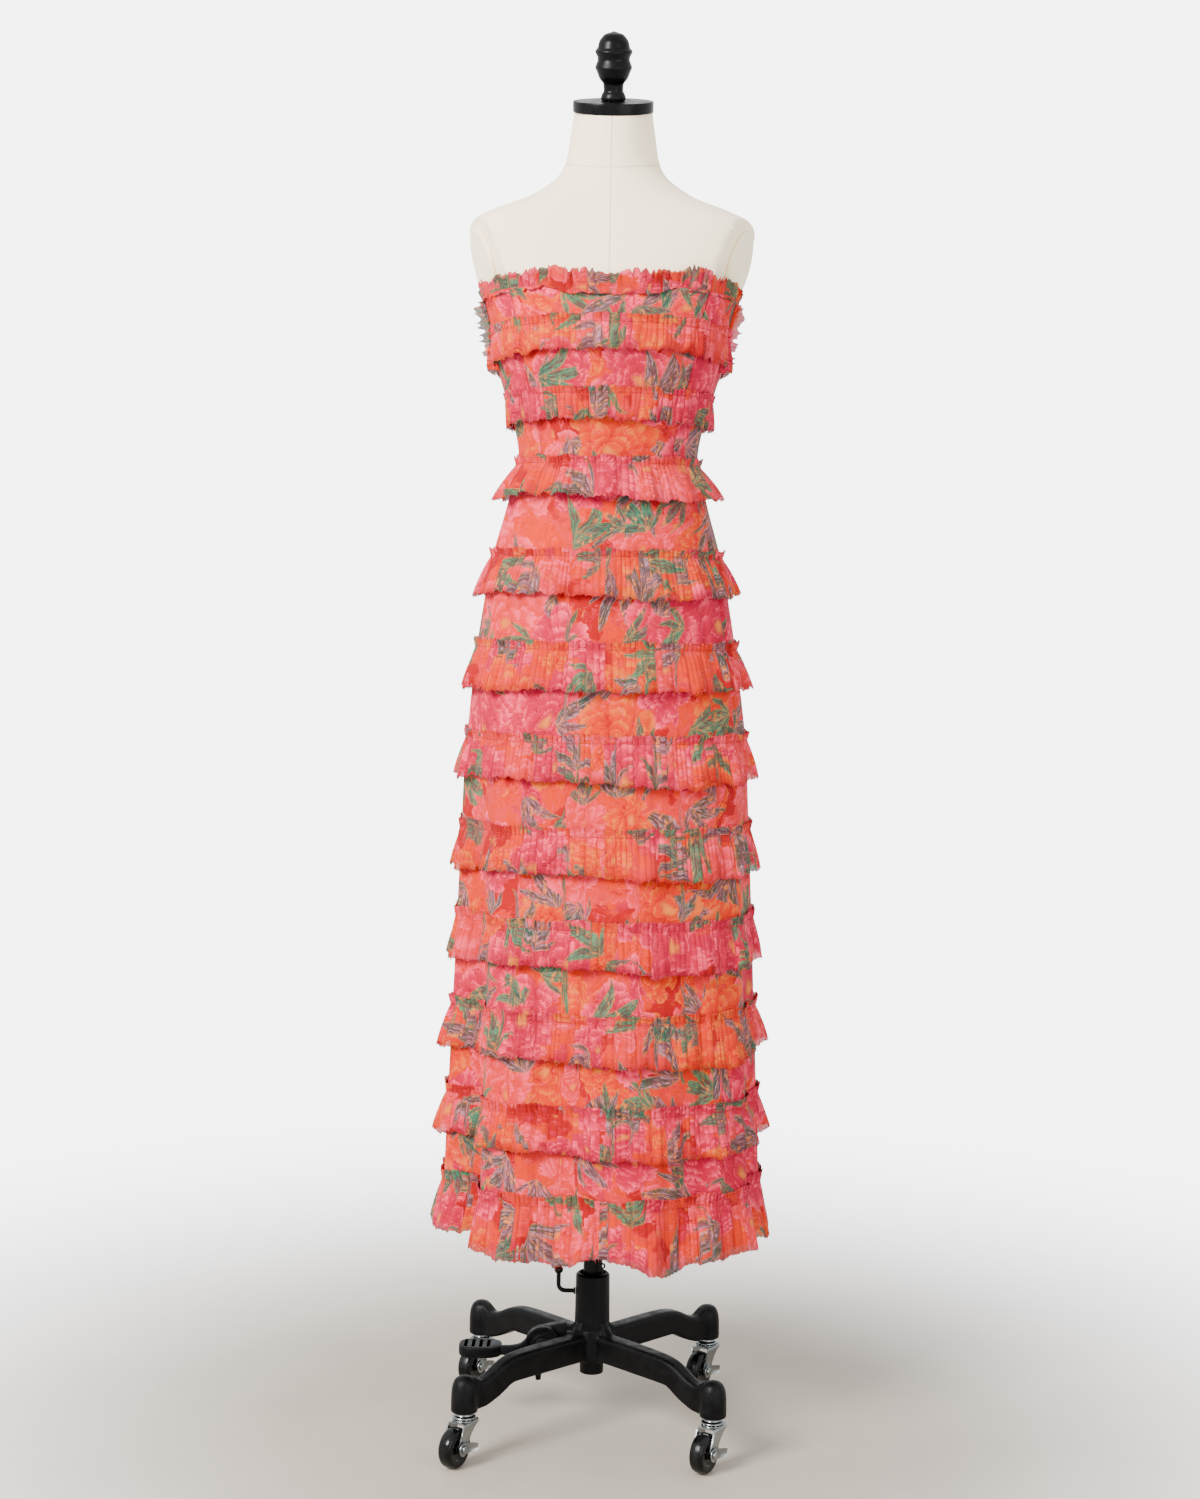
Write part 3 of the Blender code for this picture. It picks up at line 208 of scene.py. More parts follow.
# Ruffle rows. Columns after the three of its line: heading above the stitches, fall below them,
# how far both stand out, wave height, hem sway
Ruffle = namedtuple(
    "Ruffle", "name front side_drop back_drop heading fall head_out fall_out wave sway")
RUFFLES = (
    Ruffle("ruffle_01_neckline", 1.4745, 0.0150, 0.0400, 0.0215, 0.0080, 0.0070, 0.0045, 0.0025, 0.0),
    Ruffle("ruffle_02_bodice", 1.4314, 0.0150, 0.0300, 0.0105, 0.0350, 0.0030, 0.0085, 0.0035, 0.0),
    Ruffle("ruffle_03_bodice", 1.3457, 0.0040, 0.0080, 0.0080, 0.0340, 0.0030, 0.0085, 0.0035, 0.0),
    Ruffle("ruffle_04_waist", WAIST, 0.0, 0.0, 0.0090, 0.0430, 0.0030, 0.0170, 0.0055, 0.002),
    Ruffle("ruffle_05_skirt", WAIST - TIER, 0.0, 0.0, 0.0090, 0.0500, 0.0030, 0.0110, 0.0050, 0.002),
    Ruffle("ruffle_06_skirt", WAIST - 2 * TIER, 0.0, 0.0, 0.0100, 0.0520, 0.0030, 0.0115, 0.0050, 0.002),
    Ruffle("ruffle_07_skirt", WAIST - 3 * TIER, 0.0, 0.0, 0.0105, 0.0500, 0.0030, 0.0110, 0.0050, 0.003),
    Ruffle("ruffle_08_skirt", WAIST - 4 * TIER, 0.0, 0.0, 0.0115, 0.0510, 0.0030, 0.0110, 0.0050, 0.003),
    Ruffle("ruffle_09_skirt", WAIST - 5 * TIER, 0.0, 0.0, 0.0120, 0.0510, 0.0030, 0.0110, 0.0050, 0.004),
    Ruffle("ruffle_10_skirt", WAIST - 6 * TIER, 0.0, 0.0, 0.0115, 0.0520, 0.0030, 0.0110, 0.0050, 0.004),
    Ruffle("ruffle_11_skirt", WAIST - 7 * TIER, 0.0, 0.0, 0.0130, 0.0500, 0.0030, 0.0110, 0.0050, 0.004),
    Ruffle("ruffle_12_hem", WAIST - 8 * TIER, 0.0, 0.0, 0.0150, 0.0660, 0.0035, 0.0130, 0.0070, 0.008),
)
SWAY_TURNS = 3
SWAY_ANGLE = 33.0
HEADING_WAVE = 0.35
WAVE_SPREAD = 0.35
SEED = 7

# The hem's own ups and downs: where round the dress in degrees, how much lower
HEM_LINE = (
    (-180.0, 0.0), (-150.0, -0.005), (-120.0, 0.004), (-95.0, -0.002), (-70.0, -0.006), (-40.0, 0.001),
    (-24.0, 0.002), (-12.0, 0.009), (-4.0, -0.006), (4.0, -0.003), (12.0, 0.007), (20.0, 0.016),
    (27.0, 0.014), (33.0, 0.002), (45.0, 0.0), (70.0, -0.005), (95.0, 0.003), (125.0, -0.004),
    (150.0, 0.005), (180.0, 0.0))

# The neckline frill: where it lies over the panels' edge and where behind it, in degrees from the front
FRILL_OVER = 15.0
FRILL_UNDER = 31.0
FRILL_BEHIND = -0.0002
FRILL_LOW = 0.0015
FRILL_RAGGED = 0.0078
FRILL_PITCH = 0.0085
FRILL_CURL = 0.0036
FRILL_PEAK = 38.0
FRILL_CROSSING = 0.0045

# Frills down both sides of the bodice: top, bottom, width and place in degrees from the front
SIDE_FRILL_TOP = 1.4640
SIDE_FRILL_LOW = 1.3780
SIDE_FRILL_WIDTH = 0.0130
SIDE_FRILL_PLACE = 74.0
SIDE_FRILL_COLUMNS = 84
SIDE_FRILL_PITCH = 0.0066
SIDE_FRILL_WAVE = 0.0019
SIDE_FRILL_ROWS = (0.0, 0.12, 0.3, 0.5, 0.7, 0.85, 1.0)

# How far down a strip each of its rows of points lies: -1 is the heading's edge, 0 the stitches, 1 the hem
STRIP_ROWS = (-1.0, -0.82, -0.55, -0.28, -0.08, 0.06, 0.2, 0.36, 0.52, 0.68, 0.84, 1.0)
STITCH_ROW = STRIP_ROWS.index(-0.08)
PLEAT_PITCH = 0.0062
FLUTE_PITCH = 0.021
HEM_FLUTES = 1.45
PUCKER_PITCH = 0.0085
FINE = 18
FINE_BODICE = 17

# A crimped heading is closer and frays less than a hem
HEADING_CLOSE = 2.4
HEADING_RAW = 0.0012

# Where threads lie: stitches out from a strip, ends over its hem and under its heading's edge
STITCH_OUT = 0.0010
HEM_END_UP = 0.0018
HEADING_END_UP = -0.0016
BINDING_RADIUS = 0.0009
BINDING_SIDES = 6

# How far the print is shifted from one panel, strip or side frill to the next
PANEL_SHIFT = (0.171, 0.083)
STRIP_SHIFT = (0.37, 0.61)
SIDE_SHIFT = (4.1, 3.3)

# Panels cut for the dress: name, first and last column of the full ring of columns
Panel = namedtuple("Panel", "name first last columns")
BODICE_PANELS = (
    Panel("bodice_front", -6, 6, 90),
    Panel("bodice_side_right", 6, 12, 34),
    Panel("bodice_back_right", 12, 24, 70),
    Panel("bodice_back_left", 24, 36, 70),
    Panel("bodice_side_left", 36, 42, 34),
)
SKIRT_PANELS = (
    Panel("skirt_front", -12, 12, 190),
    Panel("skirt_back_right", 12, 24, 96),
    Panel("skirt_back_left", 24, 36, 96),
)
BODICE_ROWS = 44
SKIRT_ROWS = 106
SEAM_GROOVE = 0.0012
SEAM_WIDTH = 0.0030
PANEL_MIDDLE = 0.0012

# Finishes by name, and the paler colours that wear brings out
PRINTED_PANEL = "Printed net panel"
PRINTED_STRIP = "Printed net strip"
NECK_SEAM = 1.6450
SLOT_MATERIALS = {
    "linen": "Cream linen", "black_wood": "Black wood", "black_iron": "Black cast iron",
    "black_steel": "Black steel", "zinc": "Bright zinc", "black_rubber": "Black rubber",
}
WORN_BLACK = (0.0028, 0.0028, 0.0030)
WORN_RUBBER = (0.0050, 0.0050, 0.0052)
WORN_ZINC = (0.17, 0.185, 0.19)

VECTOR = "NodeSocketVector"
FLOAT = "NodeSocketFloat"
COLOUR = "NodeSocketColor"


# Small helpers for grids of points


def between(here, after, slope_in, slope_out, t):
    """A smooth curve from one value to the next, with its slope at both."""
    return (here * (2 * t ** 3 - 3 * t ** 2 + 1) + slope_in * (t ** 3 - 2 * t ** 2 + t)
            + after * (3 * t ** 2 - 2 * t ** 3) + slope_out * (t ** 3 - t ** 2))


def levelled(ways):
    """Directions laid level, each one metre long."""
    ways = ways * (1.0, 1.0, 0.0)
    return ways / np.linalg.norm(ways, axis=1, keepdims=True)


def curve_through(table, places):
    """A table's rows, read on smooth curves at places along its rising first column."""
    rows = np.array([tuple(row) for row in table])
    places = np.clip(np.asarray(places, float), rows[0, 0], rows[-1, 0])
    at = np.clip(np.searchsorted(rows[:, 0], places, side="right") - 1, 0, len(rows) - 2)
    here, after = rows[at], rows[at + 1]
    before = rows[np.maximum(at - 1, 0)]
    beyond = rows[np.minimum(at + 2, len(rows) - 1)]
    span = after[..., :1] - here[..., :1]
    t = (places[..., None] - here[..., :1]) / span
    slope_in = (after - before) / (after[..., :1] - before[..., :1]) * span
    slope_out = (beyond - here) / (beyond[..., :1] - here[..., :1]) * span
    return between(here, after, slope_in, slope_out, t)[..., 1:]


def smooth_levels(table, z):
    """Half width, front, back, squareness, middle and lean at heights z of a table of falling levels."""
    return curve_through([(-level.z, *level[1:]) for level in table], -np.asarray(z, float))


def section(levels, angle):
    """Points and outward directions on the rounded outline of each level."""
    half, front, back, square, middle = (levels[..., field] for field in range(5))
    side, ahead = np.sin(angle), np.cos(angle)
    depth = np.where(ahead >= 0.0, -front, back)
    x = half * np.sign(side) * np.abs(side) ** (2.0 / square)
    y = -depth * np.sign(ahead) * np.abs(ahead) ** (2.0 / square)
    out_x = np.sign(side) * np.abs(x / half) ** (square - 1.0) / half
    out_y = -np.sign(ahead) * np.abs(y / depth) ** (square - 1.0) / depth
    length = np.hypot(out_x, out_y)
    return middle + x, y, out_x / length, out_y / length


def turn_apart(angle, place):
    """Degrees from a place round the dress, from -180 to 180."""
    return (np.degrees(angle) - place + 180.0) % 360.0 - 180.0


def fold_depth(angle, z):
    """How far the folds draw the skirt in."""
    depth = np.zeros(np.broadcast(angle, z).shape)
    for fold in FOLDS:
        away = turn_apart(angle, fold.angle)
        grown = np.clip((fold.top - z) / (fold.top - HEM), 0.0, 1.0) ** FOLD_GROWTH
        bump = 0.5 + 0.5 * np.cos(np.pi * np.clip(away / fold.half_width, -1.0, 1.0))
        depth = depth + fold.depth * grown * bump
    return depth


def crease_depth(angle, z):
    """Small creases from the list, each fading in and out along its length."""
    depth = np.zeros(np.broadcast(angle, z).shape)
    for crease in CREASES:
        share = np.clip((crease.top - z) / (crease.top - crease.bottom), 0.0, 1.0)
        away = turn_apart(angle, crease.angle + crease.drift * share)
        bump = 0.5 + 0.5 * np.cos(np.pi * np.clip(away / crease.half_width, -1.0, 1.0))
        fade = np.sin(np.pi * share ** 0.7) ** 0.5
        depth = depth + crease.depth * bump * fade
    return depth


def cloth_surface(angle, z, out):
    """Points that stand out from the inner face of the dress's panels."""
    angle, z, out = np.broadcast_arrays(angle, z, out)
    bodice = section(smooth_levels(FORM, z), angle)
    skirt = section(smooth_levels(SKIRT, z), angle)
    on_bodice = z > SKIRT[0].z
    x, y, out_x, out_y = (np.where(on_bodice, high, low) for high, low in zip(bodice, skirt))
    reach = np.where(on_bodice, EASE + out, out - fold_depth(angle, z) - crease_depth(angle, z))
    return np.stack((x + out_x * reach, y + out_y * reach, z + 0.0 * reach), axis=-1)


def line_height(line, angle):
    """The height of a bodice line or ruffle row, which drops towards the back."""
    round_back = (1.0 - np.cos(angle)) / 2.0
    side = line.side_drop - line.back_drop / 2.0
    return line.front - line.back_drop * round_back - side * np.sin(angle) ** 2


def smooth_ring(values, places):
    """Values given at whole places of a closed ring, read smoothly in between."""
    values = np.asarray(values)
    low = np.floor(places).astype(int)
    t = places - low
    before, here, after, beyond = (values[(low + step) % len(values)] for step in (-1, 0, 1, 2))
    slope_in, slope_out = (after - before) / 2.0, (beyond - here) / 2.0
    return between(here, after, slope_in, slope_out, t)


def uneven_turns(angle, count, dice, spread):
    """The phase of that many pleats round a ring, none quite as wide as the next."""
    phase = count * angle
    for turns in (4, 9, 17, 29, 43):
        phase = phase + spread * dice.uniform(0.4, 1.0) * np.sin(turns * angle + dice.uniform(0.0, math.tau))
    return phase


def uneven_strength(angle, dice, low=0.45):
    """How strong the pleats are round a ring, from low to about 1."""
    strength = np.zeros_like(angle)
    for turns in (7, 13, 26, 37):
        strength = strength + np.sin(turns * angle + dice.uniform(0.0, math.tau)) / 4.0
    return low + (1.0 - low) * (0.5 + 0.5 * strength)


# Meshes


def link_object(name, mesh, material):
    mesh.materials.clear()
    mesh.materials.append(material)
    item = bpy.data.objects.new(name, mesh)
    bpy.context.scene.collection.objects.link(item)
    return item


def grid_faces(rows, columns, closed):
    """Corner numbers of a grid's faces, with the row and column of each."""
    steps = columns if closed else columns - 1
    row, column = (part.ravel() for part in np.meshgrid(np.arange(rows - 1), np.arange(steps), indexing="ij"))
    after = (column + 1) % columns
    upper, lower = row * columns, (row + 1) * columns
    quads = np.stack((upper + column, lower + column, lower + after, upper + after), axis=-1)
    return quads, row, column


def cloth_piece(name, points, cut, closed, thickness, material, edge=None):
    """A cloth sheet from rows of points, top row first, with its flat cut as UV and a thin wall."""
    rows, columns = points.shape[:2]
    quads, row, column = grid_faces(rows, columns, closed)
    mesh = bpy.data.meshes.new(name)
    mesh.from_pydata(points.reshape(-1, 3).tolist(), [], quads.tolist())
    corners = np.stack((cut[row, column], cut[row + 1, column], cut[row + 1, column + 1],
                        cut[row, column + 1]), axis=1)
    mesh.uv_layers.new(name=CUT).data.foreach_set("uv", corners.astype(np.float32).ravel())
    if edge is not None:
        mesh.attributes.new(EDGE, "FLOAT", "POINT").data.foreach_set("value", edge.astype(np.float32).ravel())
    mesh.shade_smooth()
    item = link_object(name, mesh, material)
    wall = item.modifiers.new("Cloth thickness", "SOLIDIFY")
    wall.thickness = thickness
    wall.offset = 0.0
    return item


def ride_with(item, body, slot, *nodes):
    """Puts a finished piece on its body, in place of the plain solids that it stands for."""
    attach(item, body)
    if nodes:
        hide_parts(*nodes)


# Node trees


class Wiring:
    """Short calls that add nodes to one tree and link them."""

    def __init__(self, tree):
        self.tree = tree

    def feed(self, socket, value):
        if isinstance(value, bpy.types.NodeSocket):
            self.tree.links.new(value, socket)
        else:
            socket.default_value = value

    def add(self, kind, inputs=None, **settings):
        node = self.tree.nodes.new(kind)
        for name, value in settings.items():
            setattr(node, name, value)
        for key, value in (inputs or {}).items():
            self.feed(node.inputs[key], value)
        return node

    def math(self, operation, *values, clamp=False):
        node = self.add("ShaderNodeMath", operation=operation, use_clamp=clamp)
        for socket, value in zip(node.inputs, values):
            self.feed(socket, value)
        return node.outputs[0]

    def plus(self, first, second):
        return self.math("ADD", first, second)

    def minus(self, first, second):
        return self.math("SUBTRACT", first, second)

    def times(self, first, second):
        return self.math("MULTIPLY", first, second)

    def scaled(self, value, by, added):
        return self.math("MULTIPLY_ADD", value, by, added)

    def vector(self, operation, *values, scale=None):
        node = self.add("ShaderNodeVectorMath", operation=operation)
        for socket, value in zip(node.inputs, values):
            self.feed(socket, value)
        if scale is not None:
            self.feed(node.inputs["Scale"], scale)
        return node.outputs["Value" if operation in ("LENGTH", "DISTANCE", "DOT_PRODUCT") else "Vector"]

    def combine(self, x, y, z):
        return self.add("ShaderNodeCombineXYZ", {"X": x, "Y": y, "Z": z}).outputs[0]

    def split(self, vector):
        return self.add("ShaderNodeSeparateXYZ", {"Vector": vector}).outputs

    def mix(self, factor, first, second, blend="MIX"):
        node = self.add("ShaderNodeMix", data_type="RGBA", blend_type=blend, clamp_factor=True)
        for place, value in ((0, factor), (6, first), (7, second)):
            self.feed(node.inputs[place], value)
        return node.outputs[2]

    def blend(self, factor, first, second):
        """A number between two others."""
        node = self.add("ShaderNodeMix", data_type="FLOAT", clamp_factor=True)
        for place, value in ((0, factor), (2, first), (3, second)):
            self.feed(node.inputs[place], value)
        return node.outputs[0]

    def rise(self, value, low, high, top=1.0):
        """0 below low, top above high, smooth in between."""
        node = self.add("ShaderNodeMapRange", interpolation_type="SMOOTHSTEP")
        for place, number in enumerate((value, low, high, 0.0, top)):
            self.feed(node.inputs[place], number)
        return node.outputs[0]

    def noise(self, vector, scale, detail=2.0, roughness=0.5, output="Fac"):
        node = self.add("ShaderNodeTexNoise", {
            "Vector": vector, "Scale": scale, "Detail": detail, "Roughness": roughness})
        return node.outputs[output]

    def group(self, tree, inputs):
        node = self.add("ShaderNodeGroup")
        node.node_tree = tree
        for key, value in inputs.items():
            self.feed(node.inputs[key], value)
        return node.outputs


def new_group(name, inputs, outputs, kind="ShaderNodeTree"):
    """An empty group with named sockets, each input given as (label, kind, default)."""
    group = bpy.data.node_groups.new(name, kind)
    for label, kind, default in inputs:
        socket = group.interface.new_socket(name=label, in_out="INPUT", socket_type=kind)
        if default is not None:
            socket.default_value = default
    for label, kind in outputs:
        group.interface.new_socket(name=label, in_out="OUTPUT", socket_type=kind)
    source = group.nodes.new("NodeGroupInput").outputs
    target = group.nodes.new("NodeGroupOutput").inputs
    return group, Wiring(group), source, target


def growth_group(name, *inputs):
    """A geometry tree that takes a shape and a finish and gives a shape, with its own sizes as inputs."""
    shape, finish = ("Geometry", "NodeSocketGeometry"), ("Material", "NodeSocketMaterial", None)
    return new_group(name, ((*shape, None), *inputs, finish), (shape,), "GeometryNodeTree")


def even_points(wires, source, spacing):
    """A node with evenly spaced points along the line that the tree is given."""
    line = wires.add("GeometryNodeMeshToCurve", {"Mesh": source["Geometry"]})
    along = {"Curve": line.outputs[0], "Length": spacing}
    return wires.add("GeometryNodeResampleCurve", along, mode="LENGTH")


def finish_tree(wires, shape, material, target):
    """Every tree ends alike: real mesh, smooth, with its finish."""
    real = wires.add("GeometryNodeRealizeInstances", {"Geometry": shape})
    smooth = wires.add("GeometryNodeSetShadeSmooth", {"Geometry": real.outputs[0]})
    painted = wires.add("GeometryNodeSetMaterial", {"Geometry": smooth.outputs[0], "Material": material})
    wires.feed(target["Geometry"], painted.outputs[0])


def motif_cell(wires, source, randomness):
    """The nearest motif's middle: the way from it, in cells, and three random numbers for it."""
    spot = wires.vector("SCALE", source["Cut"], scale=wires.math("DIVIDE", 1.0, source["Spacing"]))
    spot = wires.vector("ADD", spot, wires.combine(source["Seed"], source["Seed"], 0.0))
    cell = wires.add("ShaderNodeTexVoronoi", {"Vector": spot, "Scale": 1.0, "Randomness": randomness},
                     voronoi_dimensions="2D")
    away = wires.vector("SUBTRACT", spot, cell.outputs["Position"])
    picks = wires.add("ShaderNodeSeparateColor", {"Color": cell.outputs["Color"]}).outputs
    return away, picks


MOTIF_INPUTS = (("Cut", VECTOR, None), ("Spacing", FLOAT, 0.1), ("Seed", FLOAT, 0.0),
                ("Share", FLOAT, 0.7))
PETAL_RINGS = ((0.62, 7.0, 0.0), (0.49, 6.0, 1.1), (0.37, 5.0, 2.3), (0.25, 4.0, 0.6), (0.14, 3.0, 1.7))


def blossom_group():
    """Many-petalled round blossoms, one in each cell: where, how light each petal is, and the heart."""
    group, wires, source, target = new_group(
        "Blossom", MOTIF_INPUTS,
        (("Mask", FLOAT), ("Tone", FLOAT), ("Heart", FLOAT), ("Pick", FLOAT)))
    away, picks = motif_cell(wires, source, 0.70)
    radius = wires.vector("LENGTH", away)
    x, y = wires.split(away)[:2]
    turn = wires.plus(wires.math("ARCTAN2", y, x), wires.times(picks[0], math.tau))
    grown = wires.scaled(picks[1], 0.35, 0.78)
    streak_at = wires.vector("ADD", wires.vector("SCALE", wires.vector("NORMALIZE", away), scale=6.0),
                             wires.combine(0.0, 0.0, wires.scaled(radius, 2.5, picks[2])))
    streak = wires.noise(streak_at, 2.4, 4.0, 0.65)
    tone = None
    mask = None
    for reach, petals, shift in PETAL_RINGS:
        lobe = wires.math("ABSOLUTE", wires.math("COSINE", wires.scaled(turn, petals / 2.0, shift)))
        lobe = wires.math("POWER", lobe, 0.6)
        edge = wires.times(grown, wires.scaled(lobe, 0.34 * reach, 0.66 * reach))
        edge = wires.times(edge, wires.scaled(streak, 0.30, 0.85))
        inside = wires.rise(wires.minus(edge, radius), 0.0, 0.014)
        light = wires.math("POWER", wires.math("DIVIDE", radius, edge, clamp=True), 2.2)
        light = wires.times(light, wires.scaled(lobe, 0.75, 0.25))
        tone = light if tone is None else wires.blend(inside, tone, light)
        mask = inside if mask is None else mask
    tone = wires.plus(tone, wires.scaled(streak, 1.3, -0.62))
    shown = wires.math("LESS_THAN", wires.math("FRACT", wires.times(picks[0], 7.13)), source["Share"])
    wires.feed(target["Mask"], wires.times(mask, shown))
    wires.feed(target["Tone"], tone)
    heart = wires.plus(radius, wires.scaled(streak, 0.20, -0.10))
    wires.feed(target["Heart"], wires.minus(1.0, wires.rise(heart, 0.02, 0.10)))
    wires.feed(target["Pick"], picks[2])
    return group


LEAFLETS = ((0.0, 0.66, 0.082), (0.50, 0.52, 0.060), (-0.62, 0.56, 0.066), (1.10, 0.40, 0.040))


def leaf_group():
    """Sprays of four pointed leaves, one in each cell: where, lines, streaks and which kind."""
    group, wires, source, target = new_group(
        "Leaf spray", MOTIF_INPUTS,
        (("Mask", FLOAT), ("Vein", FLOAT), ("Margin", FLOAT), ("Streak", FLOAT), ("Pick", FLOAT)))
    away, picks = motif_cell(wires, source, 0.80)
    spin = wires.times(picks[0], math.tau)
    mask = vein = margin = streak = 0.0
    for turn, length, width in LEAFLETS:
        rotated = wires.add("ShaderNodeVectorRotate", {
            "Vector": away, "Angle": wires.plus(spin, turn)}, rotation_type="Z_AXIS").outputs[0]
        along, across = wires.split(rotated)[:2]
        bowed = wires.scaled(wires.math("SINE", wires.times(along, 5.0)), 0.04, across)
        side = wires.math("ABSOLUTE", bowed)
        share = wires.math("DIVIDE", along, length, clamp=True)
        swell = wires.times(share, wires.minus(1.0, share))
        swell = wires.math("POWER", wires.times(swell, 4.0), 0.8)
        swell = wires.times(swell, wires.scaled(share, -0.55 * width, 1.25 * width))
        fine = wires.scaled(bowed, 85.0, wires.times(along, 14.0))
        lines = wires.noise(wires.combine(wires.times(along, 9.0), fine, picks[1]), 1.0, 3.0, 0.6)
        rim = wires.minus(wires.scaled(lines, 0.05, wires.minus(swell, 0.025)), side)
        inside = wires.rise(rim, 0.0, 0.010)
        ribs = wires.math("SINE", wires.times(wires.scaled(side, -1.6, along), 88.0))
        ribs = wires.rise(ribs, 0.45, 0.95, 0.7)
        middle = wires.minus(1.0, wires.rise(side, 0.002, 0.009))
        vein = wires.blend(inside, vein, wires.math("MAXIMUM", ribs, middle))
        margin = wires.blend(inside, margin, wires.minus(1.0, wires.rise(rim, 0.004, 0.018)))
        streak = wires.blend(inside, streak, lines)
        mask = wires.math("MAXIMUM", mask, inside)
    shown = wires.math("LESS_THAN", wires.math("FRACT", wires.times(picks[1], 5.37)), source["Share"])
    wires.feed(target["Mask"], wires.times(mask, shown))
    for label, value in (("Vein", vein), ("Margin", margin), ("Streak", streak), ("Pick", picks[2])):
        wires.feed(target[label], value)
    return group


# Dark lines and shade of the leaves
DUSK = (0.035, 0.030, 0.026, 1.0)
PRINT_COLOURS = "Ground Coral Pink Magenta Blush Red Leaf Mint Mauve Lilac Straw".split()


def print_group(blossom, leaf):
    """A painterly print of large blossoms and leaf sprays, with its ground, in metres of the flat cut."""
    inputs = [("Cut", VECTOR, None)] + [(label, COLOUR, None) for label in PRINT_COLOURS]
    group, wires, source, target = new_group("Floral print", inputs, (("Color", COLOUR), ("Depth", FLOAT)))

    def drift(place, scale, reach):
        noise = wires.noise(source["Cut"], scale, 2.0, 0.5, "Color")
        shift = wires.vector("SCALE", wires.vector("SUBTRACT", noise, (0.5, 0.5, 0.5)), scale=reach)
        return wires.vector("MULTIPLY", wires.vector("ADD", place, shift), (1.0, 1.0, 0.0))

    place = drift(drift(source["Cut"], 21.0, 0.030), 75.0, 0.011)
    calm = drift(source["Cut"], 17.0, 0.018)
    wash = wires.noise(place, 24.0, 3.0, 0.6)
    brush = wires.noise(wires.vector("MULTIPLY", place, (170.0, 60.0, 1.0)), 1.0, 4.0, 0.65)
    colour = wires.mix(wires.rise(wash, 0.46, 0.58), source["Ground"], source["Coral"])
    for scale, detail, rough, low, high, top, label in (
            (15.0, 3.0, 0.5, 0.53, 0.57, 1.0, "Red"), (31.0, 3.0, 0.6, 0.60, 0.66, 0.8, "Pink"),
            (37.0, 4.0, 0.7, 0.62, 0.70, 0.55, "Straw")):
        patch = wires.noise(place, scale, detail, rough)
        colour = wires.mix(wires.rise(patch, low, high, top), colour, source[label])

    def add_blossoms(colour, spacing, seed, share, pinks=0.45, corals=0.78):
        found = wires.group(blossom, {"Cut": place, "Spacing": spacing, "Seed": seed, "Share": share})
        tone = found["Tone"]
        pink = wires.mix(wires.rise(tone, 0.02, 0.38), source["Magenta"], source["Pink"])
        pink = wires.mix(wires.rise(tone, 0.50, 1.10), pink, source["Blush"])
        coral = wires.mix(wires.rise(tone, 0.0, 0.4), source["Red"], source["Coral"])
        coral = wires.mix(wires.rise(tone, 0.45, 1.0, 0.75), coral, source["Blush"])
        flame = wires.mix(wires.rise(tone, 0.1, 0.5), source["Red"], source["Ground"])
        flame = wires.mix(wires.rise(tone, 0.55, 1.0, 0.6), flame, source["Straw"])
        petals = wires.mix(wires.rise(found["Pick"], pinks, pinks + 0.02), pink, coral)
        petals = wires.mix(wires.rise(found["Pick"], corals, corals + 0.02), petals, flame)
        petals = wires.mix(wires.times(found["Heart"], 0.8), petals, source["Straw"])
        return wires.mix(found["Mask"], colour, petals)

    def add_leaves(colour, spacing, seed, share, base, other, light):
        found = wires.group(leaf, {"Cut": calm, "Spacing": spacing, "Seed": seed, "Share": share})
        streak = found["Streak"]
        tint = wires.mix(wires.rise(wires.noise(calm, 42.0, 2.0), 0.42, 0.58), base, other)
        blade = wires.mix(wires.rise(streak, 0.38, 0.50), DUSK, tint)
        blade = wires.mix(wires.rise(streak, 0.52, 0.60), blade, light)
        blade = wires.mix(wires.rise(brush, 0.55, 0.64, 0.75), blade, source["Straw"])
        blade = wires.mix(wires.times(found["Vein"], 0.70), blade, DUSK)
        blade = wires.mix(wires.times(found["Margin"], 0.55), blade, source["Straw"])
        return wires.mix(wires.times(found["Mask"], 0.90), colour, blade)

    def add_lines(colour, scale, level, line, strength):
        """Thin brush lines where a noise crosses one level."""
        field = wires.noise(place, scale, 3.0, 0.62)
        near = wires.math("ABSOLUTE", wires.minus(field, level))
        share = wires.minus(strength, wires.rise(near, 0.003, 0.012, strength))
        return wires.mix(share, colour, line)

    colour = add_blossoms(colour, 0.056, 5.3, 0.42, 0.16, 0.66)
    colour = add_lines(colour, 26.0, 0.50, source["Red"], 0.40)
    colour = add_blossoms(colour, 0.082, 3.7, 0.38, 0.42, 0.80)
    colour = add_leaves(colour, 0.105, 8.3, 0.60, source["Mauve"], source["Leaf"], source["Lilac"])
    colour = add_blossoms(colour, 0.118, 11.9, 0.50, 0.60, 0.84)
    colour = add_lines(colour, 34.0, 0.55, source["Blush"], 0.30)
    colour = add_leaves(colour, 0.120, 17.1, 0.62, source["Leaf"], source["Mint"], source["Mint"])
    colour = add_leaves(colour, 0.140, 23.6, 0.64, source["Mauve"], source["Leaf"], source["Lilac"])
    colour = add_leaves(colour, 0.088, 31.4, 0.42, source["Leaf"], source["Mauve"], source["Mint"])
    shade = wires.scaled(brush, 0.50, 0.75)
    wires.feed(target["Color"], wires.mix(1.0, colour, wires.combine(shade, shade, shade), "MULTIPLY"))
    wires.feed(target["Depth"], brush)
    return group


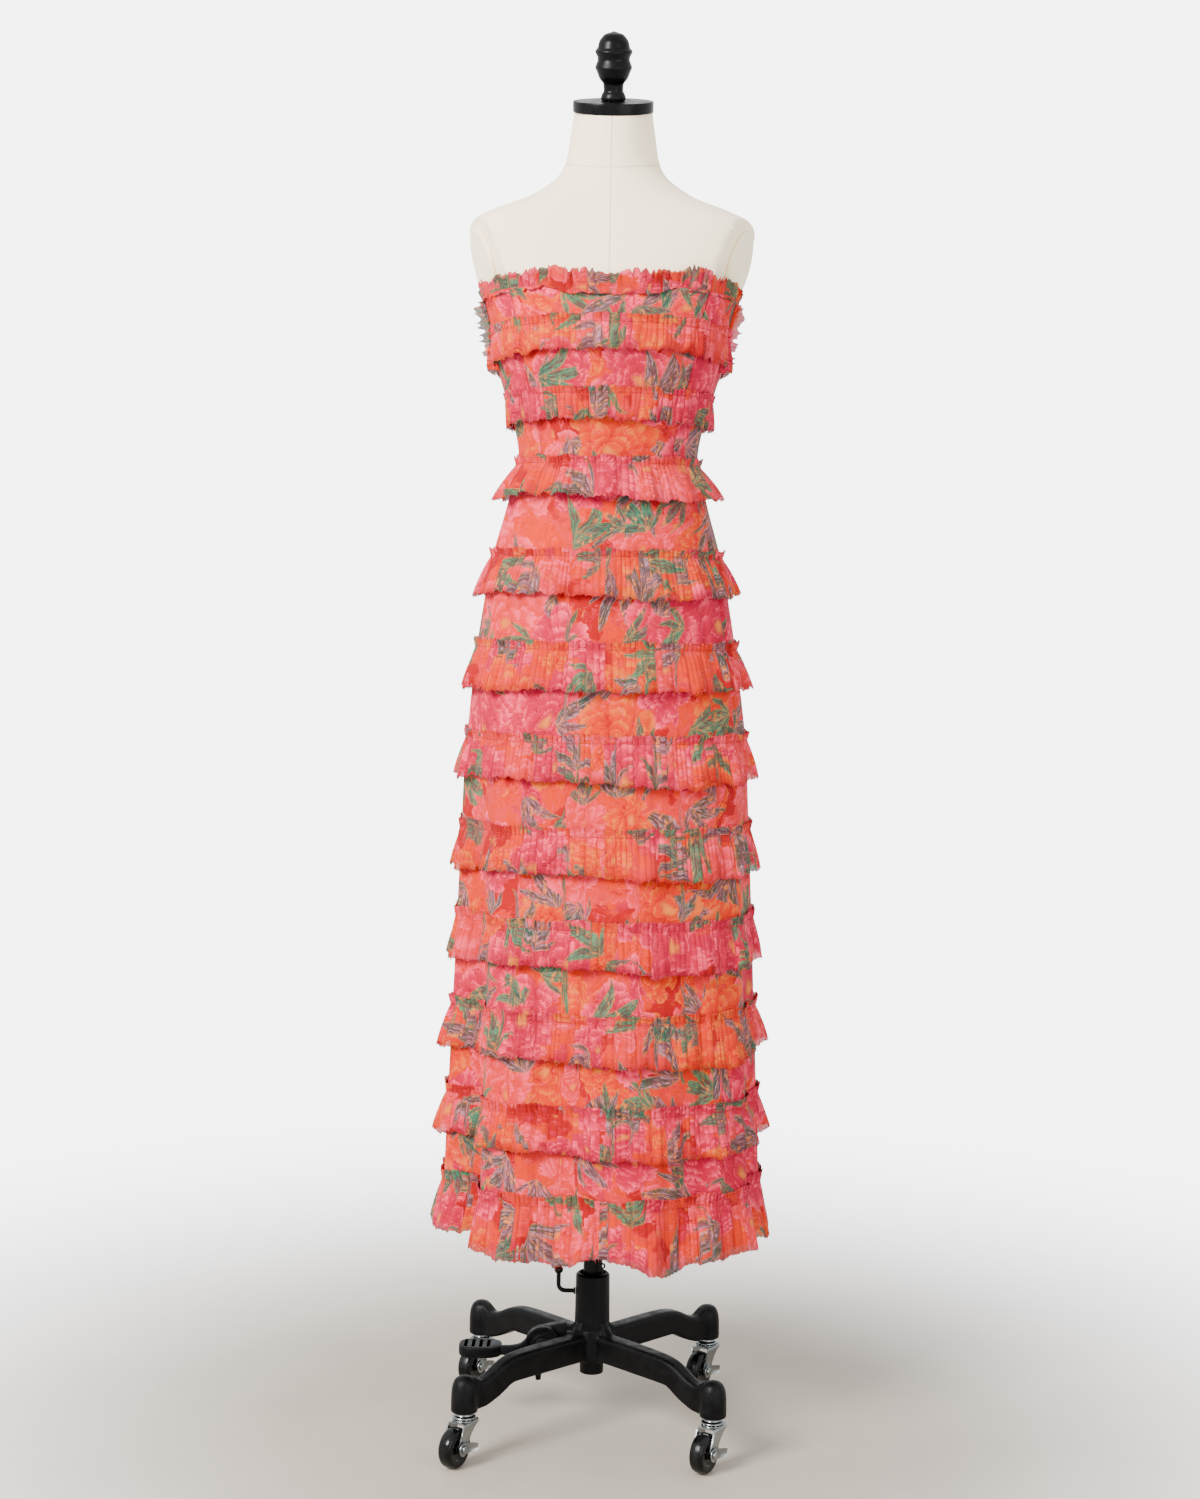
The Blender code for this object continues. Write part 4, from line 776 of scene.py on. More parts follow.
def net_group():
    """The fine holes of a knitted net, as a height."""
    group, wires, source, target = new_group(
        "Net weave", (("Cut", VECTOR, None), ("Pitch", FLOAT, 0.0011)), (("Height", FLOAT),))
    spot = wires.vector("SCALE", source["Cut"], scale=wires.math("DIVIDE", math.tau, source["Pitch"]))
    x, y = wires.split(spot)[:2]
    holes = wires.times(wires.math("SINE", x), wires.math("SINE", y))
    wires.feed(target["Height"], wires.scaled(holes, 0.5, 0.5))
    return group


def weave_group():
    """Plain weave on Object coordinates: crossed threads with slubs."""
    group, wires, source, target = new_group(
        "Plain weave", (("Vector", VECTOR, None), ("Thread", FLOAT, 0.0009)),
        (("Height", FLOAT), ("Slub", FLOAT)))
    spot = wires.vector("SCALE", source["Vector"], scale=wires.math("DIVIDE", math.tau, source["Thread"]))
    x, y, z = wires.split(spot)
    round_form = wires.plus(x, wires.times(y, 0.7))
    threads = wires.times(wires.math("SINE", round_form), wires.math("SINE", z))
    slub = wires.noise(wires.vector("MULTIPLY", source["Vector"], (90.0, 90.0, 900.0)), 1.0, 2.0)
    wires.feed(target["Height"], wires.scaled(threads, 0.4, slub))
    wires.feed(target["Slub"], slub)
    return group


def new_material(name, **constants):
    """A material with a Principled BSDF whose plain constants are set on its own sockets."""
    material = bpy.data.materials.new(name)
    material.use_nodes = True
    shader = material.node_tree.nodes["Principled BSDF"]
    for label, value in constants.items():
        shader.inputs[label.replace("_", " ")].default_value = value
    return material, Wiring(material.node_tree), shader.inputs


def bump(wires, height, strength, distance, **under):
    node = wires.add("ShaderNodeBump", {
        "Height": height, "Strength": strength, "Distance": distance, **under})
    return node.outputs["Normal"]


def printed_material(name, prints, frayed):
    """Printed net: the print on its flat cut, net bump, soft sheen and, on strips, frayed raw edges."""
    look = bpy.context.scene.dress_print
    look_cloth = bpy.context.scene.dress_cloth
    material, wires, shader = new_material(
        name, Roughness=0.85, Sheen_Weight=0.04, Sheen_Roughness=0.5, Specular_IOR_Level=0.12)
    cut = wires.add("ShaderNodeUVMap", uv_map=CUT).outputs[0]
    colours = {"Cut": cut}
    for label in PRINT_COLOURS:
        colours[label] = (*getattr(look, label.lower()), 1.0)
    found = wires.group(prints["print"], colours)
    net = wires.group(prints["net"], {"Cut": cut, "Pitch": 0.0011})["Height"]
    wires.feed(shader["Base Color"], found["Color"])
    if not frayed:
        wires.feed(shader["Normal"], bump(wires, net, 0.25, 0.0003))
        return
    tucks = wires.noise(wires.vector("MULTIPLY", cut, (420.0, 14.0, 1.0)), 1.0, 3.0, 0.65)
    height = wires.scaled(net, 0.15, tucks)
    wires.feed(shader["Normal"], bump(wires, height, 0.8, 0.0016))
    distance = wires.add("ShaderNodeAttribute", attribute_name=EDGE).outputs["Fac"]
    threads = wires.noise(wires.vector("MULTIPLY", cut, (1500.0, 60.0, 1.0)), 1.0, 1.0)
    bare = wires.scaled(threads, 0.0036, -0.0016)
    kept = wires.rise(wires.minus(distance, bare), -0.0002, 0.0002)
    sheer = wires.blend(wires.rise(distance, 0.002, 0.020), look_cloth.sheer, 1.0)
    wires.feed(shader["Alpha"], wires.times(kept, sheer))


def surface_group():
    """Grain and soft wear of a hard finish: a height and a mask for its gloss."""
    group, wires, source, target = new_group(
        "Hard surface", (("Vector", VECTOR, None), ("Grain", FLOAT, 900.0)),
        (("Height", FLOAT), ("Wear", FLOAT)))
    grain = wires.noise(source["Vector"], source["Grain"], 3.0, 0.6)
    worn = wires.noise(source["Vector"], 55.0, 4.0, 0.65)
    wires.feed(target["Height"], wires.scaled(worn, 0.6, grain))
    wires.feed(target["Wear"], wires.rise(worn, 0.40, 0.66))
    return group


def hard_material(name, coat, colour, worn_colour, low, high, grain, depth, **constants):
    """A hard finish whose colour and gloss vary a little, with its own grain."""
    material, wires, shader = new_material(name, **constants)
    place = wires.add("ShaderNodeTexCoord").outputs["Object"]
    found = wires.group(coat, {"Vector": place, "Grain": grain})
    wires.feed(shader["Base Color"], wires.mix(found["Wear"], (*colour, 1.0), (*worn_colour, 1.0)))
    wires.feed(shader["Roughness"], wires.blend(found["Wear"], low, high))
    wires.feed(shader["Normal"], bump(wires, found["Height"], 0.5, depth))


def linen_material(weave):
    """Cream linen stretched over the form, with its sewn seams."""
    look = bpy.context.scene.dress_stand
    material, wires, shader = new_material(
        "Cream linen", Roughness=0.88, Sheen_Weight=0.12, Sheen_Roughness=0.6, Specular_IOR_Level=0.25)
    place = wires.add("ShaderNodeTexCoord").outputs["Object"]
    found = wires.group(weave, {"Vector": place, "Thread": 0.0011})
    x, y, z = wires.split(place)
    front = wires.math("ABSOLUTE", wires.minus(x, BODY_X))
    collar = wires.scaled(y, -0.24, wires.minus(z, NECK_SEAM))
    seam = wires.math("MINIMUM", front, wires.math("ABSOLUTE", collar))
    groove = wires.rise(seam, 0.0, 0.0016)
    soil = wires.noise(place, 9.0, 3.0, 0.6)
    tint = wires.mix(wires.rise(soil, 0.35, 0.7, 0.35), (*look.linen, 1.0), (0.85, 0.72, 0.50, 1.0))
    tint = wires.mix(wires.rise(found["Slub"], 0.55, 0.8, 0.25), tint, (0.74, 0.61, 0.41, 1.0))
    tint = wires.mix(wires.scaled(groove, -0.30, 0.30), tint, (0.36, 0.28, 0.18, 1.0))
    wires.feed(shader["Base Color"], tint)
    fine = bump(wires, found["Height"], 0.35, 0.00025)
    wires.feed(shader["Normal"], bump(wires, groove, 0.8, 0.0008, Normal=fine))


def make_materials():
    """Every finish, made once and found again by its name."""
    look = bpy.context.scene.dress_stand
    look_print = bpy.context.scene.dress_print
    prints = {"print": print_group(blossom_group(), leaf_group()), "net": net_group()}
    coat = surface_group()
    printed_material(PRINTED_PANEL, prints, False)
    printed_material(PRINTED_STRIP, prints, True)
    linen_material(weave_group())
    iron, zinc = tuple(look.iron), tuple(look.zinc)
    for name, colour, worn, low, high, grain, depth, gloss, metal in (
            ("Black wood", iron, WORN_BLACK, 0.26, 0.40, 260.0, 0.0002, 0.10, 0.0),
            ("Black cast iron", iron, WORN_BLACK, 0.36, 0.52, 620.0, 0.0006, 0.09, 0.0),
            ("Black steel", iron, WORN_BLACK, 0.26, 0.40, 900.0, 0.0002, 0.12, 0.0),
            ("Bright zinc", zinc, WORN_ZINC, 0.14, 0.32, 500.0, 0.0001, 0.5, 1.0),
            ("Black rubber", iron, WORN_RUBBER, 0.14, 0.34, 300.0, 0.0001, 0.16, 0.0)):
        hard_material(name, coat, colour, worn, low, high, grain, depth,
                      Specular_IOR_Level=gloss, Metallic=metal)
    thread_material("Sewing thread", look_print.coral, look_print.red)
    thread_material("Loose thread", look_print.pink, look_print.blush)


def thread_material(name, colour, other):
    """Spun thread: two shades and a twisted surface, on Object coordinates."""
    material, wires, shader = new_material(name, Roughness=0.7, Sheen_Weight=0.05, Specular_IOR_Level=0.15)
    place = wires.add("ShaderNodeTexCoord").outputs["Object"]
    drift = wires.rise(wires.noise(place, 60.0, 2.0), 0.42, 0.58)
    twist = wires.noise(wires.vector("MULTIPLY", place, (900.0, 900.0, 2400.0)), 1.0, 1.0)
    wires.feed(shader["Base Color"], wires.mix(drift, (*colour, 1.0), (*other, 1.0)))
    wires.feed(shader["Normal"], bump(wires, twist, 0.4, 0.0001))


# The dress


def flat_cut(points):
    """The flat cut of an open panel, from lengths along its rows and down its middle."""
    across = np.linalg.norm(np.diff(points, axis=1), axis=2)
    u = np.concatenate((np.zeros((len(points), 1)), np.cumsum(across, axis=1)), axis=1)
    middle = points.shape[1] // 2
    u = u - u[:, middle:middle + 1]
    down = np.linalg.norm(np.diff(points[:, middle], axis=0), axis=1)
    v = -np.concatenate(([0.0], np.cumsum(down)))
    return np.stack((u, np.broadcast_to(v[:, None], u.shape)), axis=-1)


def puckers(angle, z, lines, pitch, depth):
    """Small gathers in a panel below each line of stitches."""
    dice = random.Random(SEED + 5)
    phase = uneven_turns(angle, round(1.1 / pitch), dice, 0.5)
    strength = uneven_strength(angle, dice)
    total = np.zeros(np.broadcast(angle, z).shape)
    for line in lines:
        under = line_height(line, angle) - z
        fade = np.where(under >= -0.004, np.exp(-np.clip(under, 0.0, None) / 0.014), 0.0)
        total = total + depth * fade * strength * (0.5 + 0.5 * np.cos(phase))
    return total


def tucks(angle, z):
    """The net that soft folds take up across a panel, and how far their edges stand out."""
    taken, ridge = np.zeros(z.shape), np.zeros(z.shape)
    middle = float(angle[0, 0] + angle[0, -1]) / 2.0
    for tuck in TUCKS:
        place = (math.radians(tuck.start) - middle + math.pi) % math.tau - math.pi + middle
        if not angle[0, 0] < place < angle[0, -1]:
            continue
        share = np.clip((tuck.top - z) / (tuck.top - tuck.bottom), 0.0, 1.0)
        fade = np.sin(np.pi * share) ** 0.35
        away = np.degrees(angle - place) - tuck.drift * share
        taken = taken + tuck.width * fade * np.clip(away / TUCK_EDGE, 0.0, 1.0)
        slope = np.clip(1.0 + away / TUCK_SPREAD, 0.0, 1.0) ** 1.6
        steep = np.clip(1.0 - away / TUCK_EDGE, 0.0, 1.0)
        ridge = ridge + TUCK_RISE * fade * np.where(away <= 0.0, slope, steep)
    return taken, ridge


def panel_piece(panel, top, bottom, rows, material):
    """One cut panel of thin cloth, its side edges turned in at the seams."""
    look = bpy.context.scene.dress_cloth
    turn = np.linspace(panel.first, panel.last, panel.columns) * math.tau / COLUMNS
    share = np.linspace(0.0, 1.0, rows)[:, None]
    z = line_height(top, turn) * (1.0 - share) + line_height(bottom, turn) * share
    angle = np.broadcast_to(turn, z.shape)
    radius = 0.16
    edge = np.minimum(turn - turn[0], turn[-1] - turn) * radius
    turned = SEAM_GROOVE * np.clip(1.0 - edge / SEAM_WIDTH, 0.0, 1.0) ** 2
    lines = [row for row in RUFFLES if bottom.front - 0.02 < row.front < top.front + 0.02]
    taken, ridge = tucks(angle, z)
    out = PANEL_MIDDLE - turned + puckers(angle, z, lines, PUCKER_PITCH, look.pucker) + ridge
    points = cloth_surface(angle, z, out)
    for end, beside in ((0, 1), (-1, -2)):
        inward = points[:, beside] - points[:, end]
        points[:, end] += inward / np.linalg.norm(inward, axis=1, keepdims=True) * SEAM / 2
    cut = flat_cut(points)
    cut[..., 0] += taken
    shift = np.array([panel.first * PANEL_SHIFT[0], panel.last * PANEL_SHIFT[1]])
    piece = cloth_piece("cloth_" + panel.name, points, cut + shift, False, look.thickness, material)
    ride_with(piece, "form", "printed_mesh", panel.name)


def hem_line(angle):
    """How much lower the hem hangs round the dress."""
    turns = [math.radians(turn) for turn, _ in HEM_LINE]
    away = (angle + math.pi) % math.tau - math.pi
    drops = [np.interp((away + shift + math.pi) % math.tau - math.pi, turns, [drop for _, drop in HEM_LINE])
             for shift in (-0.04, -0.02, 0.0, 0.02, 0.04)]
    return np.mean(drops, axis=0)


def frill_share(angle):
    """1 where the neckline frill lies over the panels' edge, 0 where it stands behind it."""
    away = np.abs(np.degrees((angle + math.pi) % math.tau - math.pi))
    t = np.clip((FRILL_UNDER - away) / (FRILL_UNDER - FRILL_OVER), 0.0, 1.0)
    return t * t * (3.0 - 2.0 * t)


def frill_edge(angle, dice):
    """Uneven loops of a gathered raw edge, from about -1 to 1, taller right of the front."""
    edge = np.zeros_like(angle)
    for turns, size in ((5, 0.16), (13, 0.22), (29, 0.20), (149, 0.10), (211, 0.08)):
        edge = edge + size * np.sin(turns * angle + dice.uniform(0.0, math.tau))
    warp = 0.9 * np.sin(7.0 * angle) + 0.6 * np.sin(19.0 * angle + 1.0)
    size = 0.65 + 0.45 * np.sin(17.0 * angle + dice.uniform(0.0, math.tau))
    edge = edge + size * (np.abs(np.sin(52.0 * angle + warp)) ** 0.6 - 0.55)
    away = np.degrees(angle) - FRILL_PEAK
    edge = edge + 0.9 * np.exp(-(away / 9.0) ** 2)
    return np.clip(edge, -1.1, 1.8)


def ruffle_piece(number, row, dice, material):
    """One gathered strip: crimped heading, stitches, and a fall that opens into flutes."""
    look = bpy.context.scene.dress_cloth
    start = dice.randrange(COLUMNS_PER_WAVE)
    sizes = [1.0 + dice.uniform(-WAVE_SPREAD, WAVE_SPREAD) for _ in range(WAVES + 1)]
    waves = [WAVE_PATTERN[(column + start) % COLUMNS_PER_WAVE]
             * sizes[(column + start) // COLUMNS_PER_WAVE] * row.wave for column in range(COLUMNS)]
    fine = FINE if row.front <= WAIST else FINE_BODICE
    columns = COLUMNS * fine
    angle = np.arange(columns) * math.tau / columns
    wave = smooth_ring(waves, np.arange(columns) / fine)
    stitch = line_height(row, angle)
    if number == len(RUFFLES) - 1:
        sway = hem_line(angle)
    else:
        sway = row.sway * np.cos(SWAY_TURNS * (angle - math.radians(SWAY_ANGLE)))
    base = CLOTH + RUFFLE_GAP + look.thickness / 2.0
    seam_ring = cloth_surface(angle, stitch, base)
    steps = np.linalg.norm(np.roll(seam_ring, -1, axis=0) - seam_ring, axis=1)
    girth = float(steps.sum())
    own = random.Random(SEED * 31 + number)
    frill = number == 0
    pitch = FRILL_PITCH if frill else look.pleat_pitch
    pleat = uneven_turns(angle, round(girth / pitch), own, 1.4 if frill else 1.2)
    flute = uneven_turns(angle, round(girth / look.flute_pitch), own, 0.9)
    pleat_size = look.pleat_depth * uneven_strength(angle, own, 0.30)
    flute_size = look.flute_depth * uneven_strength(angle, own, 0.25)
    flute_size = flute_size * (HEM_FLUTES if row.name.endswith("hem") else 1.0)
    drop = look.hem_drift * (uneven_strength(angle, own, 0.0) - 0.5) * 2.0
    drop += look.hem_drift * 0.6 * np.sin(2.0 * angle + own.uniform(0.0, math.tau))
    jagged = look.ragged * (uneven_strength(angle, own, 0.0) + 0.5 * np.cos(pleat) - 0.5)
    falls = row.fall
    lean = 0.5
    if frill:
        over = frill_share(angle)
        base = FRILL_BEHIND + (base - FRILL_BEHIND) * over
        crossing = 4.0 * over * (1.0 - over)
        stitch = stitch + FRILL_CROSSING * crossing
        uneven = 0.85 + 0.3 * uneven_strength(angle, own, 0.0)
        falls = FRILL_LOW + (row.fall - FRILL_LOW) * over * over * uneven
        pleat_size = FRILL_CURL * uneven_strength(angle, own, 0.3)
        jagged = FRILL_RAGGED * frill_edge(angle, own)
        lean = 0.55 + 0.5 * uneven_strength(angle, own, 0.0)
        drop = sway = 0.0
    rows, cut_down = [], []
    for t in STRIP_ROWS:
        up, down = max(-t, 0.0), max(t, 0.0)
        opened = 0.55 * down + 0.45 * math.sin(math.pi * down / 2.0)
        rise = (row.heading + wave * HEADING_WAVE) * up * (0.92 if frill else 1.0)
        fall = (falls + sway + drop - 0.45 * flute_size * np.cos(flute)) * down
        ragged = jagged * (up ** 2 + 0.25 * down ** 3) if frill else jagged * (up ** 3 + down ** 3)
        out = (row.head_out + wave * HEADING_WAVE) * lean * up ** 1.2 + (row.fall_out + wave) * opened
        crimp = 0.30 + 0.90 * min(up / 0.3, 1.0) + 0.70 * min(down / 0.15, 1.0) * (1.0 - 0.75 * down ** 1.2)
        if frill:
            crimp = 0.12 + 0.88 * up ** 0.8 + 0.5 * down * over
        gathers = np.abs(np.cos((pleat + 0.6 * down + 0.9 * up) / 2.0)) ** 0.7
        out = out + pleat_size * crimp * (gathers - 0.75 * down)
        flutes = (down ** 0.9 + 0.3 * up) * (0.5 + 0.5 * np.cos(flute + 0.5 * down))
        out = out + flute_size * (flutes - 0.65 * down)
        at = np.where(np.full(columns, up > 0.0), stitch, stitch - fall)
        ring = cloth_surface(angle, at, base + out)
        ring[:, 2] = stitch + rise - fall + ragged
        along = levelled(np.roll(ring, -1, axis=0) - np.roll(ring, 1, axis=0))
        slack = 0.3 + 0.7 * np.abs(np.sin(2.0 * pleat + flute))
        shift = look.pleat_lean * crimp * np.sin(pleat + 1.1) * slack
        if frill:
            shift = shift + 0.0016 * up * np.sin(pleat * 0.5 + 7.0 * angle)
        rows.append(ring + along * shift[:, None])
        cut_down.append(row.heading * up - row.fall * down)
    points = np.array(rows)
    down = np.array(cut_down)
    around = np.concatenate(([0.0], np.cumsum(steps))) * look.fullness
    tuck = girth * look.fullness / round(girth / look.flute_pitch) / math.tau
    hidden = tuck * (0.9 * np.sin(flute) - 0.35 * np.sin(2.0 * flute))
    hidden += girth * look.fullness / round(girth / pitch) / math.tau * 0.7 * np.sin(pleat)
    around = around - np.append(hidden, hidden[0])
    cut = np.stack(np.broadcast_arrays(around[None, :] + STRIP_SHIFT[0] * number,
                                       down[:, None] - STRIP_SHIFT[1] * number), axis=-1)
    edge = np.minimum((down[0] - down) * HEADING_CLOSE + HEADING_RAW, down - down[-1])
    edge = np.repeat(edge[:, None], columns, axis=1)
    piece = cloth_piece("cloth_" + row.name, points, cut, True, look.thickness, material, edge)
    ride_with(piece, "form", "printed_mesh", row.name)
    return points


def side_frill(name, side, dice, material, rests_on):
    """A short gathered strip down the bodice's side edge, its raw edge standing out."""
    look = bpy.context.scene.dress_cloth
    share = np.linspace(0.0, 1.0, SIDE_FRILL_COLUMNS)
    z = SIDE_FRILL_TOP + (SIDE_FRILL_LOW - SIDE_FRILL_TOP) * share
    turn = np.full_like(z, side * math.radians(SIDE_FRILL_PLACE))
    root = cloth_surface(turn, z, CLOTH + RUFFLE_GAP + look.thickness / 2.0)
    beyond = cloth_surface(turn, z, CLOTH + RUFFLE_GAP + 0.01)
    outward = levelled(beyond - root)
    back = np.stack((-outward[:, 1], outward[:, 0], np.zeros_like(z)), axis=-1) * side
    length = SIDE_FRILL_TOP - SIDE_FRILL_LOW
    phase = (math.tau * share * length / SIDE_FRILL_PITCH + 1.5 * np.sin(9.0 * share + side)
             + 0.9 * np.sin(23.0 * share))
    ends = np.clip(np.minimum(share, 1.0 - share) / 0.10, 0.0, 1.0) ** 0.5
    uneven = (1.0 + 0.20 * np.sin(31.0 * share + 2.0 * side)
              + 0.16 * np.sin(67.0 * share + dice.uniform(0.0, 6.0)))
    wide = SIDE_FRILL_WIDTH * (0.35 + 0.65 * ends) * uneven
    rows = []
    for t in SIDE_FRILL_ROWS:
        lift = (0.40 * t + 0.30 * t * t) * wide
        reach = 0.86 * t * wide
        opened = SIDE_FRILL_WAVE * min(t / 0.3, 1.0)
        wavy = opened * np.cos(phase + 0.7 * t)
        point = root + outward * (lift + wavy + opened)[:, None] + back * (reach + 0.3 * wavy)[:, None]
        point[:, 2] += 0.0009 * t * np.sin(phase + 1.2) - 0.25 * reach
        rows.append(point)
    points = np.array(rows)
    along = share * length * look.fullness
    down = -np.array(SIDE_FRILL_ROWS) * SIDE_FRILL_WIDTH
    cut = np.stack(np.broadcast_arrays(along[None, :] + SIDE_SHIFT[0] + side,
                                       down[:, None] - SIDE_SHIFT[1]), axis=-1)
    edge = np.repeat((down - down[-1])[:, None], SIDE_FRILL_COLUMNS, axis=1)
    piece = cloth_piece("cloth_" + name, points, cut, False, look.thickness, material, edge)
    ride_with(piece, "form", "printed_mesh")


def raised_ring(ring, out, up):
    """A ring of points moved away from its middle and upwards."""
    return ring + levelled(ring - ring.mean(axis=0)) * out + np.array([0.0, 0.0, up])


def stitch_tree():
    """Short stitches along a closed line."""
    tree, wires, source, target = growth_group(
        "Stitches", ("Pitch", FLOAT, 0.0046), ("Length", FLOAT, 0.0030), ("Thread", FLOAT, 0.00034),
        ("Tilt", VECTOR, (0.22, 0.22, 0.22)), ("Seed", "NodeSocketInt", 5))
    even = even_points(wires, source, source["Pitch"])
    stitch = wires.add("GeometryNodeMeshCylinder", {
        "Vertices": 5, "Radius": source["Thread"], "Depth": source["Length"]})
    against = wires.vector("SCALE", source["Tilt"], scale=-1.0)
    stray = wires.add("FunctionNodeRandomValue", {0: against, 1: source["Tilt"], "Seed": source["Seed"]},
                      data_type="FLOAT_VECTOR")
    forward = wires.vector("ADD", wires.add("GeometryNodeInputTangent").outputs[0], stray.outputs[0])
    aim = wires.add("FunctionNodeAlignRotationToVector", {"Vector": forward}, axis="Z")
    placed = wires.add("GeometryNodeInstanceOnPoints", {
        "Points": even.outputs[0], "Instance": stitch.outputs[0], "Rotation": aim.outputs[0]})
    finish_tree(wires, placed.outputs[0], source["Material"], target)
    return tree


def loose_thread_tree():
    """Fine thread ends hanging from a cut edge."""
    tree, wires, source, target = growth_group(
        "Loose threads", ("Spacing", FLOAT, 0.0058), ("Length", FLOAT, 0.0062), ("Thread", FLOAT, 0.00026),
        ("Seed", "NodeSocketInt", 3), ("Upwards", FLOAT, -1.0))
    even = even_points(wires, source, source["Spacing"])
    end = wires.add("GeometryNodeMeshCone", {
        "Vertices": 3, "Radius Top": 0.0, "Radius Bottom": source["Thread"], "Depth": source["Length"]})
    stray = wires.add("FunctionNodeRandomValue", {
        0: (-0.55, -0.55, -0.2), 1: (0.55, 0.55, 0.3), "Seed": source["Seed"]}, data_type="FLOAT_VECTOR")
    way = wires.vector("ADD", wires.combine(0.0, 0.0, source["Upwards"]), stray.outputs[0])
    aim = wires.add("FunctionNodeAlignRotationToVector", {"Vector": way}, axis="Z")
    size = wires.add("FunctionNodeRandomValue", {2: 0.35, 3: 1.3, "Seed": source["Seed"]}, data_type="FLOAT")
    placed = wires.add("GeometryNodeInstanceOnPoints", {
        "Points": even.outputs[0], "Instance": end.outputs[0], "Rotation": aim.outputs[0],
        "Scale": size.outputs[1]})
    finish_tree(wires, placed.outputs[0], source["Material"], target)
    return tree


def binding_piece():
    """The rolled edge along the top of the bodice."""
    angle = np.arange(240) * math.tau / 240
    path = cloth_surface(angle, line_height(BODICE_TOP, angle), PANEL_MIDDLE)
    points = []
    for number, here in enumerate(path):
        forward = Vector(path[(number + 1) % len(path)]) - Vector(path[number - 1])
        out = forward.normalized().cross(Vector((0.0, 0.0, 1.0)))
        for side in range(BINDING_SIDES):
            turn = math.tau * side / BINDING_SIDES
            up = Vector((0.0, 0.0, BINDING_RADIUS * math.sin(turn)))
            points.append(Vector(here) + out * BINDING_RADIUS * math.cos(turn) + up)
    faces = ring_faces(len(path), BINDING_SIDES, closed=True)
    binding = solid("rolled_neck_edge", points, faces, bpy.data.materials["Sewing thread"], 80.0)
    ride_with(binding, "form", "printed_mesh")


# The form


def solid(name, points, faces, material, sharp=40.0):
    """A closed mesh with its faces turned outwards."""
    mesh = bpy.data.meshes.new(name)
    mesh.from_pydata([tuple(point) for point in points], [], faces)
    shell = bmesh.new()
    shell.from_mesh(mesh)
    bmesh.ops.remove_doubles(shell, verts=shell.verts, dist=1e-6)
    bmesh.ops.recalc_face_normals(shell, faces=shell.faces)
    shell.to_mesh(mesh)
    shell.free()
    mesh.shade_smooth()
    mesh.set_sharp_from_angle(angle=math.radians(sharp))
    return link_object(name, mesh, material)


def lean_rings(points, lean):
    """Tips each ring about its middle, the front going down."""
    middle = points[..., 1].mean(axis=1, keepdims=True)
    points[..., 2] += np.tan(np.radians(lean)) * (points[..., 1] - middle)
    return points


def form_rings(rows, columns):
    """Rings of the dress form from its neck down, flat at the arm plates."""
    marks = np.array([level.z for level in FORM])
    place = np.linspace(0.0, len(FORM) - 1.0, rows)
    z = np.interp(place, np.arange(len(FORM)), marks)
    levels = smooth_levels(FORM, z)[:, None, :]
    angle = np.arange(columns) * math.tau / columns
    x, y, _, _ = section(levels, angle)
    high = np.broadcast_to(z[:, None], x.shape)
    share = np.clip((high - ROUND_BELOW) / (FLAT_ABOVE - ROUND_BELOW), 0.0, 1.0)
    off = PLATE_NORMAL.y * (y - PLATE_CENTRE.y) + PLATE_NORMAL.z * (high - PLATE_CENTRE.z)
    limit = PLATE_CENTRE.x - off / PLATE_NORMAL.x
    reach = np.abs(x - BODY_X)
    kept = np.where(reach > limit, reach + (limit - reach) * share, reach)
    points = np.stack((BODY_X + np.copysign(kept, x - BODY_X), y, high.copy()), axis=-1)
    points = lean_rings(points, levels[..., 5])
    down = (CAP_THICK + SEAM) / math.cos(CAP_LEAN)
    points[0, :, 2] = CAP_TOP.z - down + (points[0, :, 1] - CAP_TOP.y) * math.tan(CAP_LEAN)
    return points


def closed_rings(name, rings, material):
    """A solid skin over rings of points, its two ends closed with flat fans."""
    rings = np.asarray(rings)
    rows, columns = rings.shape[:2]
    quads, _, _ = grid_faces(rows, columns, True)
    points = rings.reshape(-1, 3).tolist()
    faces = quads.tolist()
    for first, last in ((0, True), (rows - 1, False)):
        hub = len(points)
        points.append(rings[first].mean(axis=0).tolist())
        for column in range(columns):
            here, after = first * columns + column, first * columns + (column + 1) % columns
            faces.append([hub, here, after] if last else [hub, after, here])
    return solid(name, points, faces, material)


def rounded_corner(before, here, after, radius, steps=5):
    """Points on the round that takes a corner's place."""
    back, ahead = before - here, after - here
    reach = min(radius, back.length * 0.45, ahead.length * 0.45)
    start, end = here + back.normalized() * reach, here + ahead.normalized() * reach
    shares = [step / (steps - 1) for step in range(steps)]
    return [start * (1 - t) ** 2 + here * 2 * t * (1 - t) + end * t ** 2 for t in shares]


def eased(profile, radius):
    """A profile with its inner corners rounded."""
    points = [Vector(point) for point in profile]
    smooth = [points[0]]
    for corner in zip(points, points[1:], points[2:]):
        smooth += rounded_corner(*corner, radius)
    return smooth + [points[-1]]


